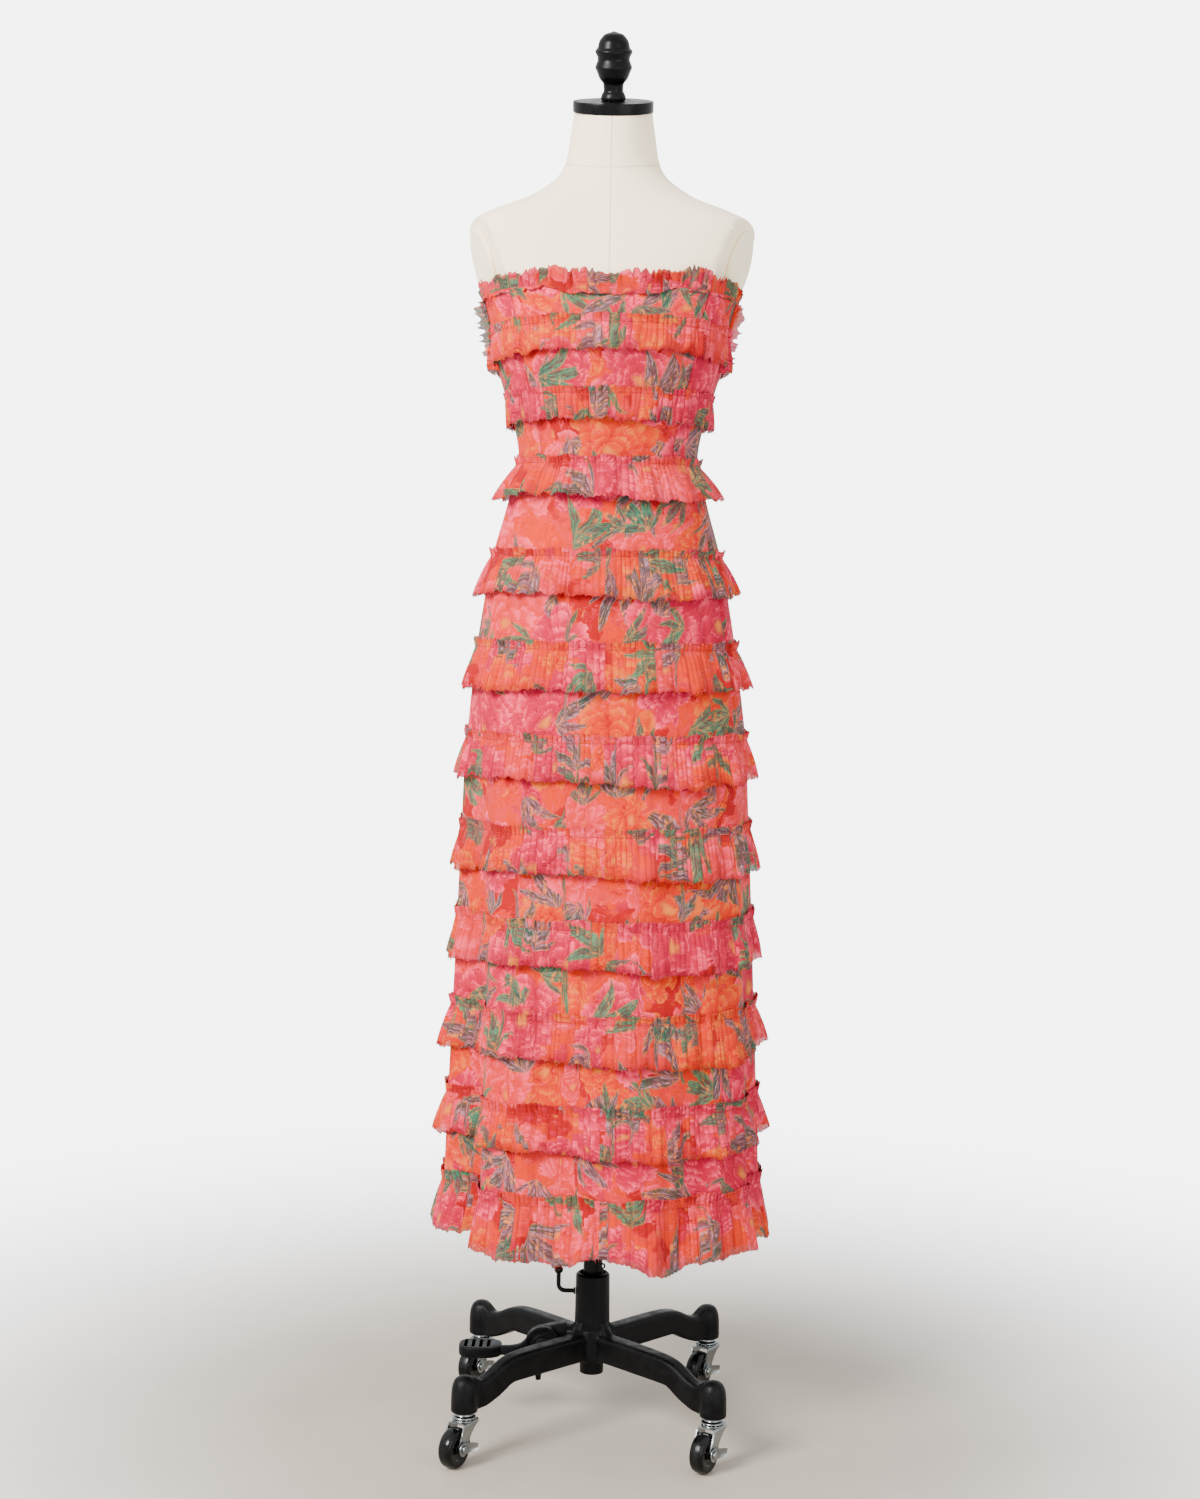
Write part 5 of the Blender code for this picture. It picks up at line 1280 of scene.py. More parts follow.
def turned_parts(profile, sides, matrix=None):
    """Points and faces of a profile of (radius, height) turned round an axis, closed or with a bore."""
    place = matrix or Matrix()
    points, rings = [], []
    for radius, height in profile:
        if radius < 1e-6:
            rings.append([len(points)] * sides)
            points.append(place @ Vector((0.0, 0.0, height)))
            continue
        rings.append(list(range(len(points), len(points) + sides)))
        for side in range(sides):
            turn = math.tau * side / sides
            points.append(place @ Vector((radius * math.cos(turn), radius * math.sin(turn), height)))
    pairs = list(zip(rings, rings[1:]))
    if profile[0][0] > 1e-6 and profile[-1][0] > 1e-6:
        pairs.append((rings[-1], rings[0]))
    faces = []
    for low, high in pairs:
        for side in range(sides):
            after = (side + 1) % sides
            faces.append(tuple(dict.fromkeys((low[side], low[after], high[after], high[side]))))
    return points, faces


def turned_piece(name, profile, sides, material, matrix=None):
    return solid(name, *turned_parts(profile, sides, matrix), material)


def joined(parts):
    """Several lists of points and faces as one."""
    points, faces = [], []
    for some_points, some_faces in parts:
        first = len(points)
        points += list(some_points)
        faces += [tuple(first + corner for corner in face) for face in some_faces]
    return points, faces


def eased_loop(outline, radius):
    """A closed outline with its corners rounded."""
    points = [Vector(point) for point in outline]
    smooth = []
    for number, here in enumerate(points):
        smooth += rounded_corner(points[number - 1], here, points[(number + 1) % len(points)], radius)
    return smooth


def axis_point(axis, first, second, along):
    if axis == "X":
        return Vector((along, first, second))
    if axis == "Y":
        return Vector((first, along, second))
    return Vector((first, second, along))


EASED_STEPS = ((0.0, 1.0), (0.29, 0.29), (1.0, 0.0))


def ring_faces(rings, around, closed=False):
    """Faces between rings of points that follow each other, round to the first where closed."""
    faces = []
    for ring in range(rings if closed else rings - 1):
        near, far = ring * around, (ring + 1) % rings * around
        for number in range(around):
            after = (number + 1) % around
            faces.append((near + number, near + after, far + after, far + number))
    return faces


def slab_parts(outline, axis, low, high, ease, matrix=None):
    """A flat outline drawn out along an axis, its edges rounded."""
    place = matrix or Matrix()
    outline = [Vector(point) for point in outline]
    count = len(outline)
    area = sum(here.x * after.y - after.x * here.y
               for here, after in zip(outline, outline[1:] + outline[:1]))
    side = 1.0 if area > 0.0 else -1.0
    inward = []
    for number in range(count):
        forward = outline[(number + 1) % count] - outline[number - 1]
        inward.append(Vector((-forward.y, forward.x)).normalized() * side)
    levels = [(low + ease * up, ease * inset) for up, inset in EASED_STEPS]
    levels += [(high - ease * up, ease * inset) for up, inset in reversed(EASED_STEPS)]
    points = [place @ axis_point(axis, *(point + way * inset), height)
              for height, inset in levels for point, way in zip(outline, inward)]
    faces = [tuple(range(count)), tuple(range(len(points) - count, len(points)))]
    return points, faces + ring_faces(len(levels), count)


def tube_parts(path, radius, sides):
    """A round rod along a path, its ends closed."""
    path = [Vector(point) for point in path]
    across = Vector((0.0, 1.0, 0.0))
    points = []
    for number, here in enumerate(path):
        forward = (path[min(number + 1, len(path) - 1)] - path[max(number - 1, 0)]).normalized()
        across = (across - forward * across.dot(forward)).normalized()
        above = forward.cross(across)
        for side in range(sides):
            turn = math.tau * side / sides
            points.append(here + across * radius * math.cos(turn) + above * radius * math.sin(turn))
    faces = [tuple(range(sides)), tuple(range(len(points) - sides, len(points)))]
    return points, faces + ring_faces(len(path), sides)


def plate_parts(outer, inner, matrix=None):
    """A bent plate between two grids of points."""
    place = matrix or Matrix()
    rows, columns = len(outer), len(outer[0])
    points = [place @ Vector(point) for grid in (outer, inner) for row in grid for point in row]
    below = rows * columns
    faces = []
    for row in range(rows - 1):
        for column in range(columns - 1):
            here = row * columns + column
            quad = (here, here + 1, here + columns + 1, here + columns)
            faces += [quad, tuple(below + corner for corner in reversed(quad))]
    rim = [column for column in range(columns)]
    rim += [row * columns + columns - 1 for row in range(1, rows)]
    rim += [(rows - 1) * columns + column for column in range(columns - 2, -1, -1)]
    rim += [row * columns for row in range(rows - 2, 0, -1)]
    for here, after in zip(rim, rim[1:] + rim[:1]):
        faces.append((here, after, below + after, below + here))
    return points, faces


def ball_parts(centre, radius, sides=24):
    """A round ball."""
    turns = [math.radians(-90.0 + 180.0 * step / (sides // 2)) for step in range(sides // 2 + 1)]
    profile = [(radius * abs(math.cos(turn)) if abs(turn) < 1.57 else 0.0, radius * math.sin(turn))
               for turn in turns]
    return turned_parts(profile, sides, Matrix.Translation(centre))


def baked(item):
    """The piece with its modifiers turned into plain mesh."""
    material = item.data.materials[0]
    depsgraph = bpy.context.evaluated_depsgraph_get()
    mesh = bpy.data.meshes.new_from_object(item.evaluated_get(depsgraph), depsgraph=depsgraph)
    item.modifiers.clear()
    old, item.data = item.data, mesh
    bpy.data.meshes.remove(old)
    mesh.materials.clear()
    mesh.materials.append(material)
    mesh.shade_smooth()
    return item


def grown_piece(name, paths, tree, material, **values):
    """A piece that a node tree grows along closed paths of points."""
    points, edges = [], []
    for path in paths:
        first, count = len(points), len(path)
        points += [tuple(point) for point in path]
        edges += [(first + number, first + (number + 1) % count) for number in range(count)]
    mesh = bpy.data.meshes.new(name)
    mesh.from_pydata(points, edges, [])
    item = link_object(name, mesh, material)
    growth = item.modifiers.new("Growth", "NODES")
    growth.node_group = tree
    values["Material"] = material
    for socket in tree.interface.items_tree:
        if socket.item_type == "SOCKET" and socket.in_out == "INPUT" and socket.name in values:
            growth[socket.identifier] = values[socket.name]
    return baked(item)


def cast_piece(name, parts, voxel, rounds, material):
    """Overlapping solids melted into one casting with soft corners."""
    item = solid(name, *joined(parts), material)
    melt = item.modifiers.new("Casting", "REMESH")
    melt.mode = "VOXEL"
    melt.voxel_size = voxel
    soften = item.modifiers.new("Soft corners", "SMOOTH")
    soften.factor = 0.5
    soften.iterations = rounds
    return baked(item)


def discard(item):
    """Removes an object that has done its work, with its mesh."""
    mesh = item.data
    bpy.data.objects.remove(item)
    bpy.data.meshes.remove(mesh)


def cut_away(item, name, parts):
    """Cuts solids out of a piece."""
    tool = solid(name, *joined(parts), item.data.materials[0])
    cutter = item.modifiers.new("Cut", "BOOLEAN")
    cutter.operation = "DIFFERENCE"
    cutter.solver = "EXACT"
    cutter.object = tool
    baked(item)
    discard(tool)
    item.data.set_sharp_from_angle(angle=math.radians(40.0))
    return item


def finish_of(slot):
    return bpy.data.materials[SLOT_MATERIALS[slot]]


# The stand


COLUMN_TOP = 0.2013
COLUMN_RADIUS_TOP = 0.0223
COLUMN_RADIUS_LOW = 0.0232
COLUMN_CHAMFER = 0.0026
COLLAR_RADIUS = 0.0170
COLLAR_DEPTH = 0.0040
BORE = 0.0131
POLE_RADIUS = 0.0127
POLE_BOTTOM = 0.1080
HUB_TOP = 0.1240
HUB_BOTTOM = 0.0845
CUP_RADIUS = 0.0156
CUP_BOTTOM = 0.0670
CUP_FLOOR = 0.0040
HUB_CAST = ((0.0185, 0.0848), (0.0222, 0.0845), (0.0244, 0.0862), (0.0249, 0.0900), (0.0249, 0.1165),
            (0.0243, 0.1225), (0.0234, 0.1290), (0.0185, 0.1290))

# Legs: distance from the column, underside, top and half width of each section
LegStep = namedtuple("LegStep", "r low high half_width")
LEG = (
    LegStep(0.0190, 0.0885, 0.1222, 0.0130),
    LegStep(0.1000, 0.0885, 0.1228, 0.0120),
    LegStep(0.1310, 0.0885, 0.1221, 0.0115),
    LegStep(0.1490, 0.0872, 0.1198, 0.0112),
    LegStep(0.1640, 0.0788, 0.1145, 0.0108),
    LegStep(0.1790, 0.0720, 0.1066, 0.0104),
    LegStep(0.1960, 0.0668, 0.1015, 0.0098),
    LegStep(0.2200, 0.0665, 0.0990, 0.0085),
)
LEG_CUTS = 46
LEG_ROUND_TOP = 0.0046
LEG_ROUND_LOW = 0.0020
LEG_REACH = 0.2216
BELL = ((0.0, 0.0654), (0.0163, 0.0654), (0.0172, 0.0668), (0.0169, 0.0900), (0.0157, 0.1000),
        (0.0125, 0.1076), (0.0068, 0.1112), (0.0, 0.1122))
GUSSET = ((0.1900, 0.0850), (0.1900, 0.1010), (0.1985, 0.1016), (0.2100, 0.1088), (0.2200, 0.1090),
          (0.2200, 0.0850))
GUSSET_HALF = 0.0088
WEB = ((0.0190, 0.1120), (0.0190, 0.1400), (0.0236, 0.1392), (0.0275, 0.1300), (0.0360, 0.1236),
       (0.0520, 0.1222), (0.0520, 0.1120))
WEB_HALF = 0.0062
CORNERS = {"fl": -135.0, "fr": -45.0, "br": 45.0, "bl": 135.0}
PEG_PLACE = 0.0960
PEG = ((0.0, 0.0775), (0.0040, 0.0775), (0.0040, 0.0835), (0.0064, 0.0880), (0.0064, 0.0940), (0.0, 0.0940))
CAST_VOXEL = 0.0019
CAST_ROUNDS = 3

# Pedal on its bracket, left of the column
PIVOT = Vector((-0.0645, 0.0, 0.1065))
PEDAL_HUB = ((0.0055, -0.0044), (0.0235, -0.0044), (0.0235, -0.0148), (0.0226, -0.0158), (0.0196, -0.0158),
             (0.0182, -0.0142), (0.0140, -0.0142), (0.0126, -0.0158), (0.0055, -0.0158))
PIN = ((0.0, 0.0020), (0.0050, 0.0020), (0.0050, -0.0163), (0.0095, -0.0163), (0.0095, -0.0186),
       (0.0082, -0.0193), (0.0, -0.0193))
PAD_CENTRE = Vector((-0.1475, -0.0030, 0.0962))
PAD_HALF_LENGTH = 0.0285
PAD_HALF_WIDTH = 0.0225
PAD_THICK = 0.0140
PAD_SLOTS = 4
PAD_SLOT = 0.0046
PAD_PITCH = 0.0100
PAD_SLOT_SHIFT = -0.0040
PAD_SLOT_REACH = 0.72
PAD_SLOT_TAPER = 0.0012
PAD_POINTS = 56
PAD_SQUARE = 0.25
PEDAL_ARM = ((-0.0120, 0.0185), (-0.0215, 0.0070), (-0.0300, -0.0012), (-0.0440, -0.0040), (-0.0605, -0.0041),
             (-0.0605, -0.0160), (-0.0260, -0.0160), (-0.0080, -0.0160))
ARM_FRONT = -0.0140
ARM_BACK = -0.0046
BRACKET_FRONT = -0.0037
BRACKET_BACK = 0.0120
BRACKET_CORNER = Vector((-0.0340, 0.0, 0.1332))
BRACKET_LOW = 0.0925
BRACKET_NECK_BACK = 0.0058
BRACKET_ROUND = 0.0195

# Clamp lever and looped clip
LEVER_HEIGHT = 0.1758
LEVER_RADIUS = 0.0029
LEVER_START = -0.0229
LEVER_OUT = -0.0452
LEVER_BEND = 0.0085
BALL_CENTRE = 0.2040
BALL_RADIUS = 0.0060
CLIP_WIRE = 0.0012
CLIP_FRONT = -0.0164
CLIP_LOOP = 0.0030
CLIP_HIGH = (0.0128, 0.2146)
CLIP_LOW = (0.0104, 0.2058)

# Casters: 50 mm wheel, trailing to the front left
WHEEL_RADIUS = 0.0254
WHEEL = ((0.0034, -0.0088), (0.0062, -0.0088), (0.0067, -0.0084), (0.0070, -0.0078), (0.0130, -0.0076),
         (0.0138, -0.0078), (0.0146, -0.0086), (0.0156, -0.0091), (0.0190, -0.0095), (0.0210, -0.0094),
         (0.0228, -0.0087), (0.0241, -0.0075), (0.0249, -0.0056), (0.0252, -0.0034), (0.0254, -0.0012),
         (0.0254, 0.0))
TRAIL = 0.0215
TRAIL_ANGLE = -120.0
FORK_MIDDLE = 0.0122
FORK_PLATE = 0.0019
FORK_TOP = 0.0560
FORK_BEND = 0.0030
# Height, rear edge and front edge of the fork's cheeks
FORK_EDGES = ((0.0174, -0.0232, -0.0198), (0.0182, -0.0252, -0.0176), (0.0205, -0.0278, -0.0150),
              (0.0254, -0.0300, -0.0124), (0.0310, -0.0290, -0.0088), (0.0420, -0.0234, -0.0006),
              (0.0478, -0.0206, 0.0060), (0.0515, -0.0188, 0.0134), (0.0560, -0.0168, 0.0148))
LOWER_RACE = ((0.0, 0.0548), (0.0140, 0.0548), (0.0152, 0.0558), (0.0152, 0.0567), (0.0141, 0.0572),
              (0.0128, 0.0576), (0.0, 0.0576))
UPPER_RACE = ((0.0, 0.0580), (0.0132, 0.0580), (0.0143, 0.0584), (0.0152, 0.0590), (0.0150, 0.0600),
              (0.0138, 0.0610), (0.0120, 0.0619), (0.0114, 0.0630), (0.0114, 0.0651), (0.0, 0.0651))
RACE_BALLS = 16
RACE_BALL = 0.0009
RACE_BALL_RING = 0.0141
RACE_BALL_HEIGHT = 0.0578
AXLE = ((0.0, -0.0158), (0.0034, -0.0157), (0.0050, -0.0146), (0.0050, -0.0130), (0.0030, -0.0130),
        (0.0030, 0.0154), (0.0050, 0.0154), (0.0050, 0.0168), (0.0036, 0.0179), (0.0, 0.0180))
BRAKE_INNER = 0.0136
BRAKE_PLATE = 0.0016
BRAKE_RADIUS = 0.0090
BRAKE_BORE = 0.0034
# Along the brake's tab: half its width, how far it turns out
BRAKE_TAB = (
    (0.0060, 0.0070, 0.0), (0.0095, 0.0066, 0.0002), (0.0125, 0.0060, 0.0012), (0.0155, 0.0056, 0.0030),
    (0.0185, 0.0050, 0.0050), (0.0210, 0.0040, 0.0064))


def leg_parts(turn):
    """A leg with rounded edges, drawn through its sections."""
    reach = np.linspace(LEG[0].r, LEG[-1].r, LEG_CUTS)
    points = []
    for r, (low, high, wide) in zip(reach, curve_through(LEG, reach)):
        ring = []
        for x, z, side, radius in ((-wide, low, 1.0, LEG_ROUND_LOW), (wide, low, 1.0, LEG_ROUND_LOW),
                                   (wide, high, -1.0, LEG_ROUND_TOP), (-wide, high, -1.0, LEG_ROUND_TOP)):
            ahead = 1.0 if x < 0.0 else -1.0
            corner = [(x, z + side * radius), (x + ahead * 0.3 * radius, z + side * 0.3 * radius),
                      (x + ahead * radius, z)]
            ring += corner if (x < 0.0) == (side > 0.0) else corner[::-1]
        points += [turn @ Vector((r, x, z)) for x, z in ring]
    around = len(points) // LEG_CUTS
    faces = [tuple(range(around)), tuple(range(len(points) - around, len(points)))]
    return points, faces + ring_faces(LEG_CUTS, around)


def base_piece():
    """The cast base: hub, webs, four arched legs, their bells and the peg."""
    parts = [turned_parts(HUB_CAST, 64)]
    for corner, heading in CORNERS.items():
        turn = Matrix.Rotation(math.radians(heading), 4, "Z")
        at_bell = turn @ Matrix.Translation((LEG_REACH, 0.0, 0.0))
        parts.append(leg_parts(turn))
        parts.append(turned_parts(eased(BELL, 0.0030), 40, at_bell))
        parts.append(slab_parts(GUSSET, "Y", -GUSSET_HALF, GUSSET_HALF, 0.0030, turn))
        parts.append(slab_parts(WEB, "Y", -WEB_HALF, WEB_HALF, 0.0020, turn))
        if corner == "fl":
            parts.append(turned_parts(PEG, 20, turn @ Matrix.Translation((PEG_PLACE, 0.0, 0.0))))
    base = cast_piece("cast_base", parts, CAST_VOXEL, CAST_ROUNDS, finish_of("black_iron"))
    bore = turned_parts([(0.0, 0.05), (0.0178, 0.05), (0.0178, 0.16), (0.0, 0.16)], 40)
    cut_away(base, "bore", [bore])
    legs = ["leg_" + corner for corner in CORNERS]
    ride_with(base, "base", "black_iron", "hub", *legs)


def column_pieces():
    """The column's tube, the cup below it and the pole inside."""
    column = ((BORE, HUB_BOTTOM), (COLUMN_RADIUS_LOW, HUB_BOTTOM), (COLUMN_RADIUS_LOW, HUB_TOP),
              (COLUMN_RADIUS_TOP, COLUMN_TOP - COLUMN_CHAMFER),
              (COLUMN_RADIUS_TOP - COLUMN_CHAMFER, COLUMN_TOP), (COLLAR_RADIUS, COLUMN_TOP),
              (COLLAR_RADIUS, COLUMN_TOP - COLLAR_DEPTH),
              (BORE, COLUMN_TOP - COLLAR_DEPTH))
    piece = turned_piece("turned_column", eased(column, 0.0009), 72, finish_of("black_iron"))
    ride_with(piece, "base", "black_iron", "column")
    top = HUB_BOTTOM - SEAM
    cup = ((0.0, CUP_BOTTOM), (CUP_RADIUS, CUP_BOTTOM), (CUP_RADIUS, top), (BORE, top),
           (BORE, CUP_BOTTOM + CUP_FLOOR), (0.0, CUP_BOTTOM + CUP_FLOOR))
    piece = turned_piece("turned_cup", eased(cup, 0.0012), 56, finish_of("black_iron"))
    ride_with(piece, "base", "black_iron", "lower_cup")
    top = FORM[-1].z - SEAM
    pole = ((0.0, POLE_BOTTOM), (POLE_RADIUS, POLE_BOTTOM), (POLE_RADIUS, top), (0.0, top))
    piece = turned_piece("turned_pole", eased(pole, 0.0008), 48, finish_of("black_steel"))
    ride_with(piece, "form", "black_steel", "pole")


def round_outline(centre, radius, start, end, steps):
    """Points on part of a circle, by degrees."""
    turns = [math.radians(start + (end - start) * step / steps) for step in range(steps + 1)]
    return [(centre[0] + radius * math.cos(turn), centre[1] + radius * math.sin(turn)) for turn in turns]


def pedal_pieces():
    """The bracket with its pin, and the slotted pedal that turns on it."""
    on_pivot = Matrix.Translation(PIVOT) @ Matrix.Rotation(math.radians(-90.0), 4, "X")
    plate = round_outline((PIVOT.x, PIVOT.z), BRACKET_ROUND, 110.0, 250.0, 20)
    corners = [(BRACKET_CORNER.x, BRACKET_LOW), (BRACKET_CORNER.x, BRACKET_CORNER.z)]
    neck_end = -COLUMN_RADIUS_LOW
    neck = [(BRACKET_CORNER.x - 0.004, BRACKET_LOW + 0.001), (neck_end, BRACKET_LOW + 0.001),
            (neck_end, HUB_TOP - 0.004), (BRACKET_CORNER.x - 0.004, HUB_TOP - 0.004)]
    parts = [slab_parts(plate + corners, "Y", BRACKET_FRONT, BRACKET_BACK, 0.0009),
             slab_parts(neck, "Y", BRACKET_FRONT + 0.0004, BRACKET_NECK_BACK, 0.0009),
             turned_parts(PIN, 40, on_pivot)]
    bracket = solid("pedal_bracket_plate", *joined(parts), finish_of("black_iron"))
    ride_with(bracket, "base", "black_iron", "pedal_bracket")
    arm = eased_loop([(PIVOT.x + along, PIVOT.z + up) for along, up in PEDAL_ARM], 0.0060)
    oval = []
    for number in range(PAD_POINTS):
        turn = math.tau * (number + 0.5) / PAD_POINTS
        ahead, aside = math.cos(turn), math.sin(turn)
        oval.append((PAD_CENTRE.x + PAD_HALF_LENGTH * ahead / abs(ahead) ** PAD_SQUARE,
                     PAD_CENTRE.y + PAD_HALF_WIDTH * aside / abs(aside) ** PAD_SQUARE))
    low, high = PAD_CENTRE.z - PAD_THICK / 2, PAD_CENTRE.z + PAD_THICK / 2
    pad = solid("foot_pedal", *slab_parts(oval, "Z", low, high, 0.0022), finish_of("black_iron"))
    slots = []
    for number in range(PAD_SLOTS):
        off = number - (PAD_SLOTS - 1) / 2
        middle = PAD_CENTRE.x + PAD_SLOT_SHIFT + off * PAD_PITCH
        half = PAD_HALF_WIDTH * PAD_SLOT_REACH - abs(off) * PAD_SLOT_TAPER
        slot = [(middle - PAD_SLOT / 2, PAD_CENTRE.y - half), (middle + PAD_SLOT / 2, PAD_CENTRE.y - half),
                (middle + PAD_SLOT / 2, PAD_CENTRE.y + half), (middle - PAD_SLOT / 2, PAD_CENTRE.y + half)]
        slots.append(slab_parts(eased_loop(slot, 0.0016), "Z", low - 0.01, high + 0.01, 0.0001))
    cut_away(pad, "pad_slots", slots)
    hub = solid("hub", *joined([turned_parts(PEDAL_HUB, 56, on_pivot),
                                slab_parts(arm, "Y", ARM_FRONT, ARM_BACK, 0.0018)]), finish_of("black_iron"))
    join_pieces(pad, hub)
    ride_with(pad, "foot_pedal", "black_iron", "pedal")


def join_pieces(item, other):
    """Adds another piece's mesh to a piece."""
    shell = bmesh.new()
    shell.from_mesh(item.data)
    shell.from_mesh(other.data)
    shell.to_mesh(item.data)
    shell.free()
    item.data.shade_smooth()
    item.data.set_sharp_from_angle(angle=math.radians(40.0))
    discard(other)


def lever_pieces():
    """The clamp lever with its ball, and the looped clip on the column's rim."""
    path = [(LEVER_START, 0.0, LEVER_HEIGHT), (LEVER_START - 0.004, 0.0, LEVER_HEIGHT)]
    bend = round_outline((LEVER_OUT + LEVER_BEND, LEVER_HEIGHT + LEVER_BEND), LEVER_BEND, -90.0, -180.0, 10)
    path += [(x, 0.0, z) for x, z in bend]
    path += [(LEVER_OUT, 0.0, LEVER_HEIGHT + LEVER_BEND + 0.006), (LEVER_OUT, 0.0, BALL_CENTRE - 0.001)]
    collar = Matrix.Translation((LEVER_START, 0.0, LEVER_HEIGHT))
    collar = collar @ Matrix.Rotation(math.radians(-90.0), 4, "Y")
    ring = ((0.0, 0.0), (0.0046, 0.0), (0.0046, 0.0016), (0.0036, 0.0024), (0.0, 0.0024))
    parts = [tube_parts(path, LEVER_RADIUS, 20), turned_parts(eased(ring, 0.0005), 28, collar),
             ball_parts((LEVER_OUT, 0.0, BALL_CENTRE), BALL_RADIUS)]
    lever = solid("lever_rod", *joined(parts), finish_of("black_steel"))
    ride_with(lever, "lever", "black_steel", "clamp_lever")
    wire = round_outline(CLIP_LOW, CLIP_LOOP, -130.0, 75.0, 14)
    wire += round_outline(CLIP_HIGH, CLIP_LOOP, -80.0, 262.0, 22)
    path = [(x, CLIP_FRONT - 0.0010 * number / len(wire), z) for number, (x, z) in enumerate(wire)]
    clip = solid("clip_wire", *tube_parts(path, CLIP_WIRE, 12), finish_of("black_steel"))
    ride_with(clip, "base", "black_steel", "column_clip")


def fork_parts(swivel):
    """A plate bent over the wheel, its cheeks narrowing from the race to the axle."""
    bend = FORK_MIDDLE - FORK_BEND
    side = [(-FORK_MIDDLE, z) for z in (0.0174, 0.0182, 0.0205, 0.0254, 0.0310, 0.0370, 0.0420, 0.0478)]
    top = FORK_TOP - FORK_PLATE / 2
    side += round_outline((-bend, top - FORK_BEND), FORK_BEND, 180.0, 90.0, 5)
    middle = side + [(-y, z) for y, z in reversed(side)]
    ways = []
    for number in range(len(middle)):
        before, beyond = middle[max(number - 1, 0)], middle[min(number + 1, len(middle) - 1)]
        along = Vector((beyond[0] - before[0], beyond[1] - before[1])).normalized()
        ways.append(Vector((-along.y, along.x)))
    edges = curve_through(FORK_EDGES, [z for _, z in middle])
    grids = ([], [])
    for (y, z), way, (rear, front) in zip(middle, ways, edges):
        for grid, side_out in zip(grids, (0.5, -0.5)):
            off = way * FORK_PLATE * side_out
            grid.append([(rear + (front - rear) * step / 8, y + off.x, z + off.y) for step in range(9)])
    return plate_parts(*grids, swivel)


def brake_parts(place):
    """A pressed plate beside the fork, its tab turned out."""
    outline = round_outline((0.0, 0.0), BRAKE_RADIUS, 42.0, 318.0, 26)
    outline += [(0.0090, -0.0070), (0.0090, 0.0070)]
    grids = ([], [])
    for along, wide, out in BRAKE_TAB:
        for grid, level in zip(grids, (BRAKE_INNER + BRAKE_PLATE, BRAKE_INNER)):
            grid.append([(along, wide * share, level + out + 0.0012 * abs(share) ** 2 * (along > 0.009))
                         for share in (-1.0, -0.8, -0.4, 0.0, 0.4, 0.8, 1.0)])
    return (slab_parts(outline, "Z", BRAKE_INNER, BRAKE_INNER + BRAKE_PLATE, 0.0004, place),
            plate_parts(*grids, place))


def race_ball_tree():
    """A ring of small balls between two races."""
    tree, wires, source, target = growth_group(
        "Race balls", ("Balls", "NodeSocketInt", RACE_BALLS), ("Ring", FLOAT, RACE_BALL_RING),
        ("Height", FLOAT, RACE_BALL_HEIGHT), ("Ball", FLOAT, RACE_BALL))
    ring = wires.add("GeometryNodeMeshCircle", {"Vertices": source["Balls"], "Radius": source["Ring"]})
    ball = wires.add("GeometryNodeMeshUVSphere", {"Segments": 8, "Rings": 6, "Radius": source["Ball"]})
    placed = wires.add("GeometryNodeInstanceOnPoints", {
        "Points": ring.outputs[0], "Instance": ball.outputs[0]})
    raised = wires.add("GeometryNodeTransform", {
        "Geometry": placed.outputs[0], "Translation": wires.combine(0.0, 0.0, source["Height"])})
    finish_tree(wires, raised.outputs[0], source["Material"], target)
    return tree


def caster_pieces(corner, heading, tree):
    """Stem, fork, wheel and brake of one caster, each on its own body."""
    turn = math.radians(heading)
    zinc = finish_of("zinc")
    stem_place = Matrix.Translation((LEG_REACH * math.cos(turn), LEG_REACH * math.sin(turn), 0.0))
    swivel = stem_place @ Matrix.Rotation(math.radians(TRAIL_ANGLE + 180.0), 4, "Z")
    place = swivel @ Matrix.Translation((-TRAIL, 0.0, WHEEL_RADIUS))
    place = place @ Matrix.Rotation(math.radians(90.0), 4, "X")
    stem = turned_piece("caster_stem_" + corner, eased(UPPER_RACE, 0.0005), 48, zinc, stem_place)
    ride_with(stem, "base", "zinc", "stem_" + corner)
    parts = [fork_parts(swivel), turned_parts(eased(LOWER_RACE, 0.0004), 48, swivel),
             turned_parts(eased(AXLE, 0.0004), 28, place)]
    fork = solid("caster_fork_" + corner, *joined(parts), zinc)
    ride_with(fork, "swivel_" + corner, "zinc", "fork_" + corner)
    balls = grown_piece("caster_balls_" + corner, [[(0.0, 0.0, 0.0)]], tree, zinc)
    balls.data.transform(swivel)
    ride_with(balls, "swivel_" + corner, "zinc")
    profile = list(WHEEL) + [(radius, -height) for radius, height in reversed(WHEEL[:-1])]
    wheel = turned_piece("caster_wheel_" + corner, profile, 64, finish_of("black_rubber"), place)
    ride_with(wheel, "roller_" + corner, "black_rubber", "wheel_" + corner)
    brake = solid("caster_brake_" + corner, *joined(brake_parts(place)), zinc)
    hole = turned_parts(((0.0, 0.010), (BRAKE_BORE, 0.010), (BRAKE_BORE, 0.020), (0.0, 0.020)), 24, place)
    cut_away(brake, "brake_hole", [hole])
    ride_with(brake, "stop_" + corner, "zinc", "brake_" + corner)


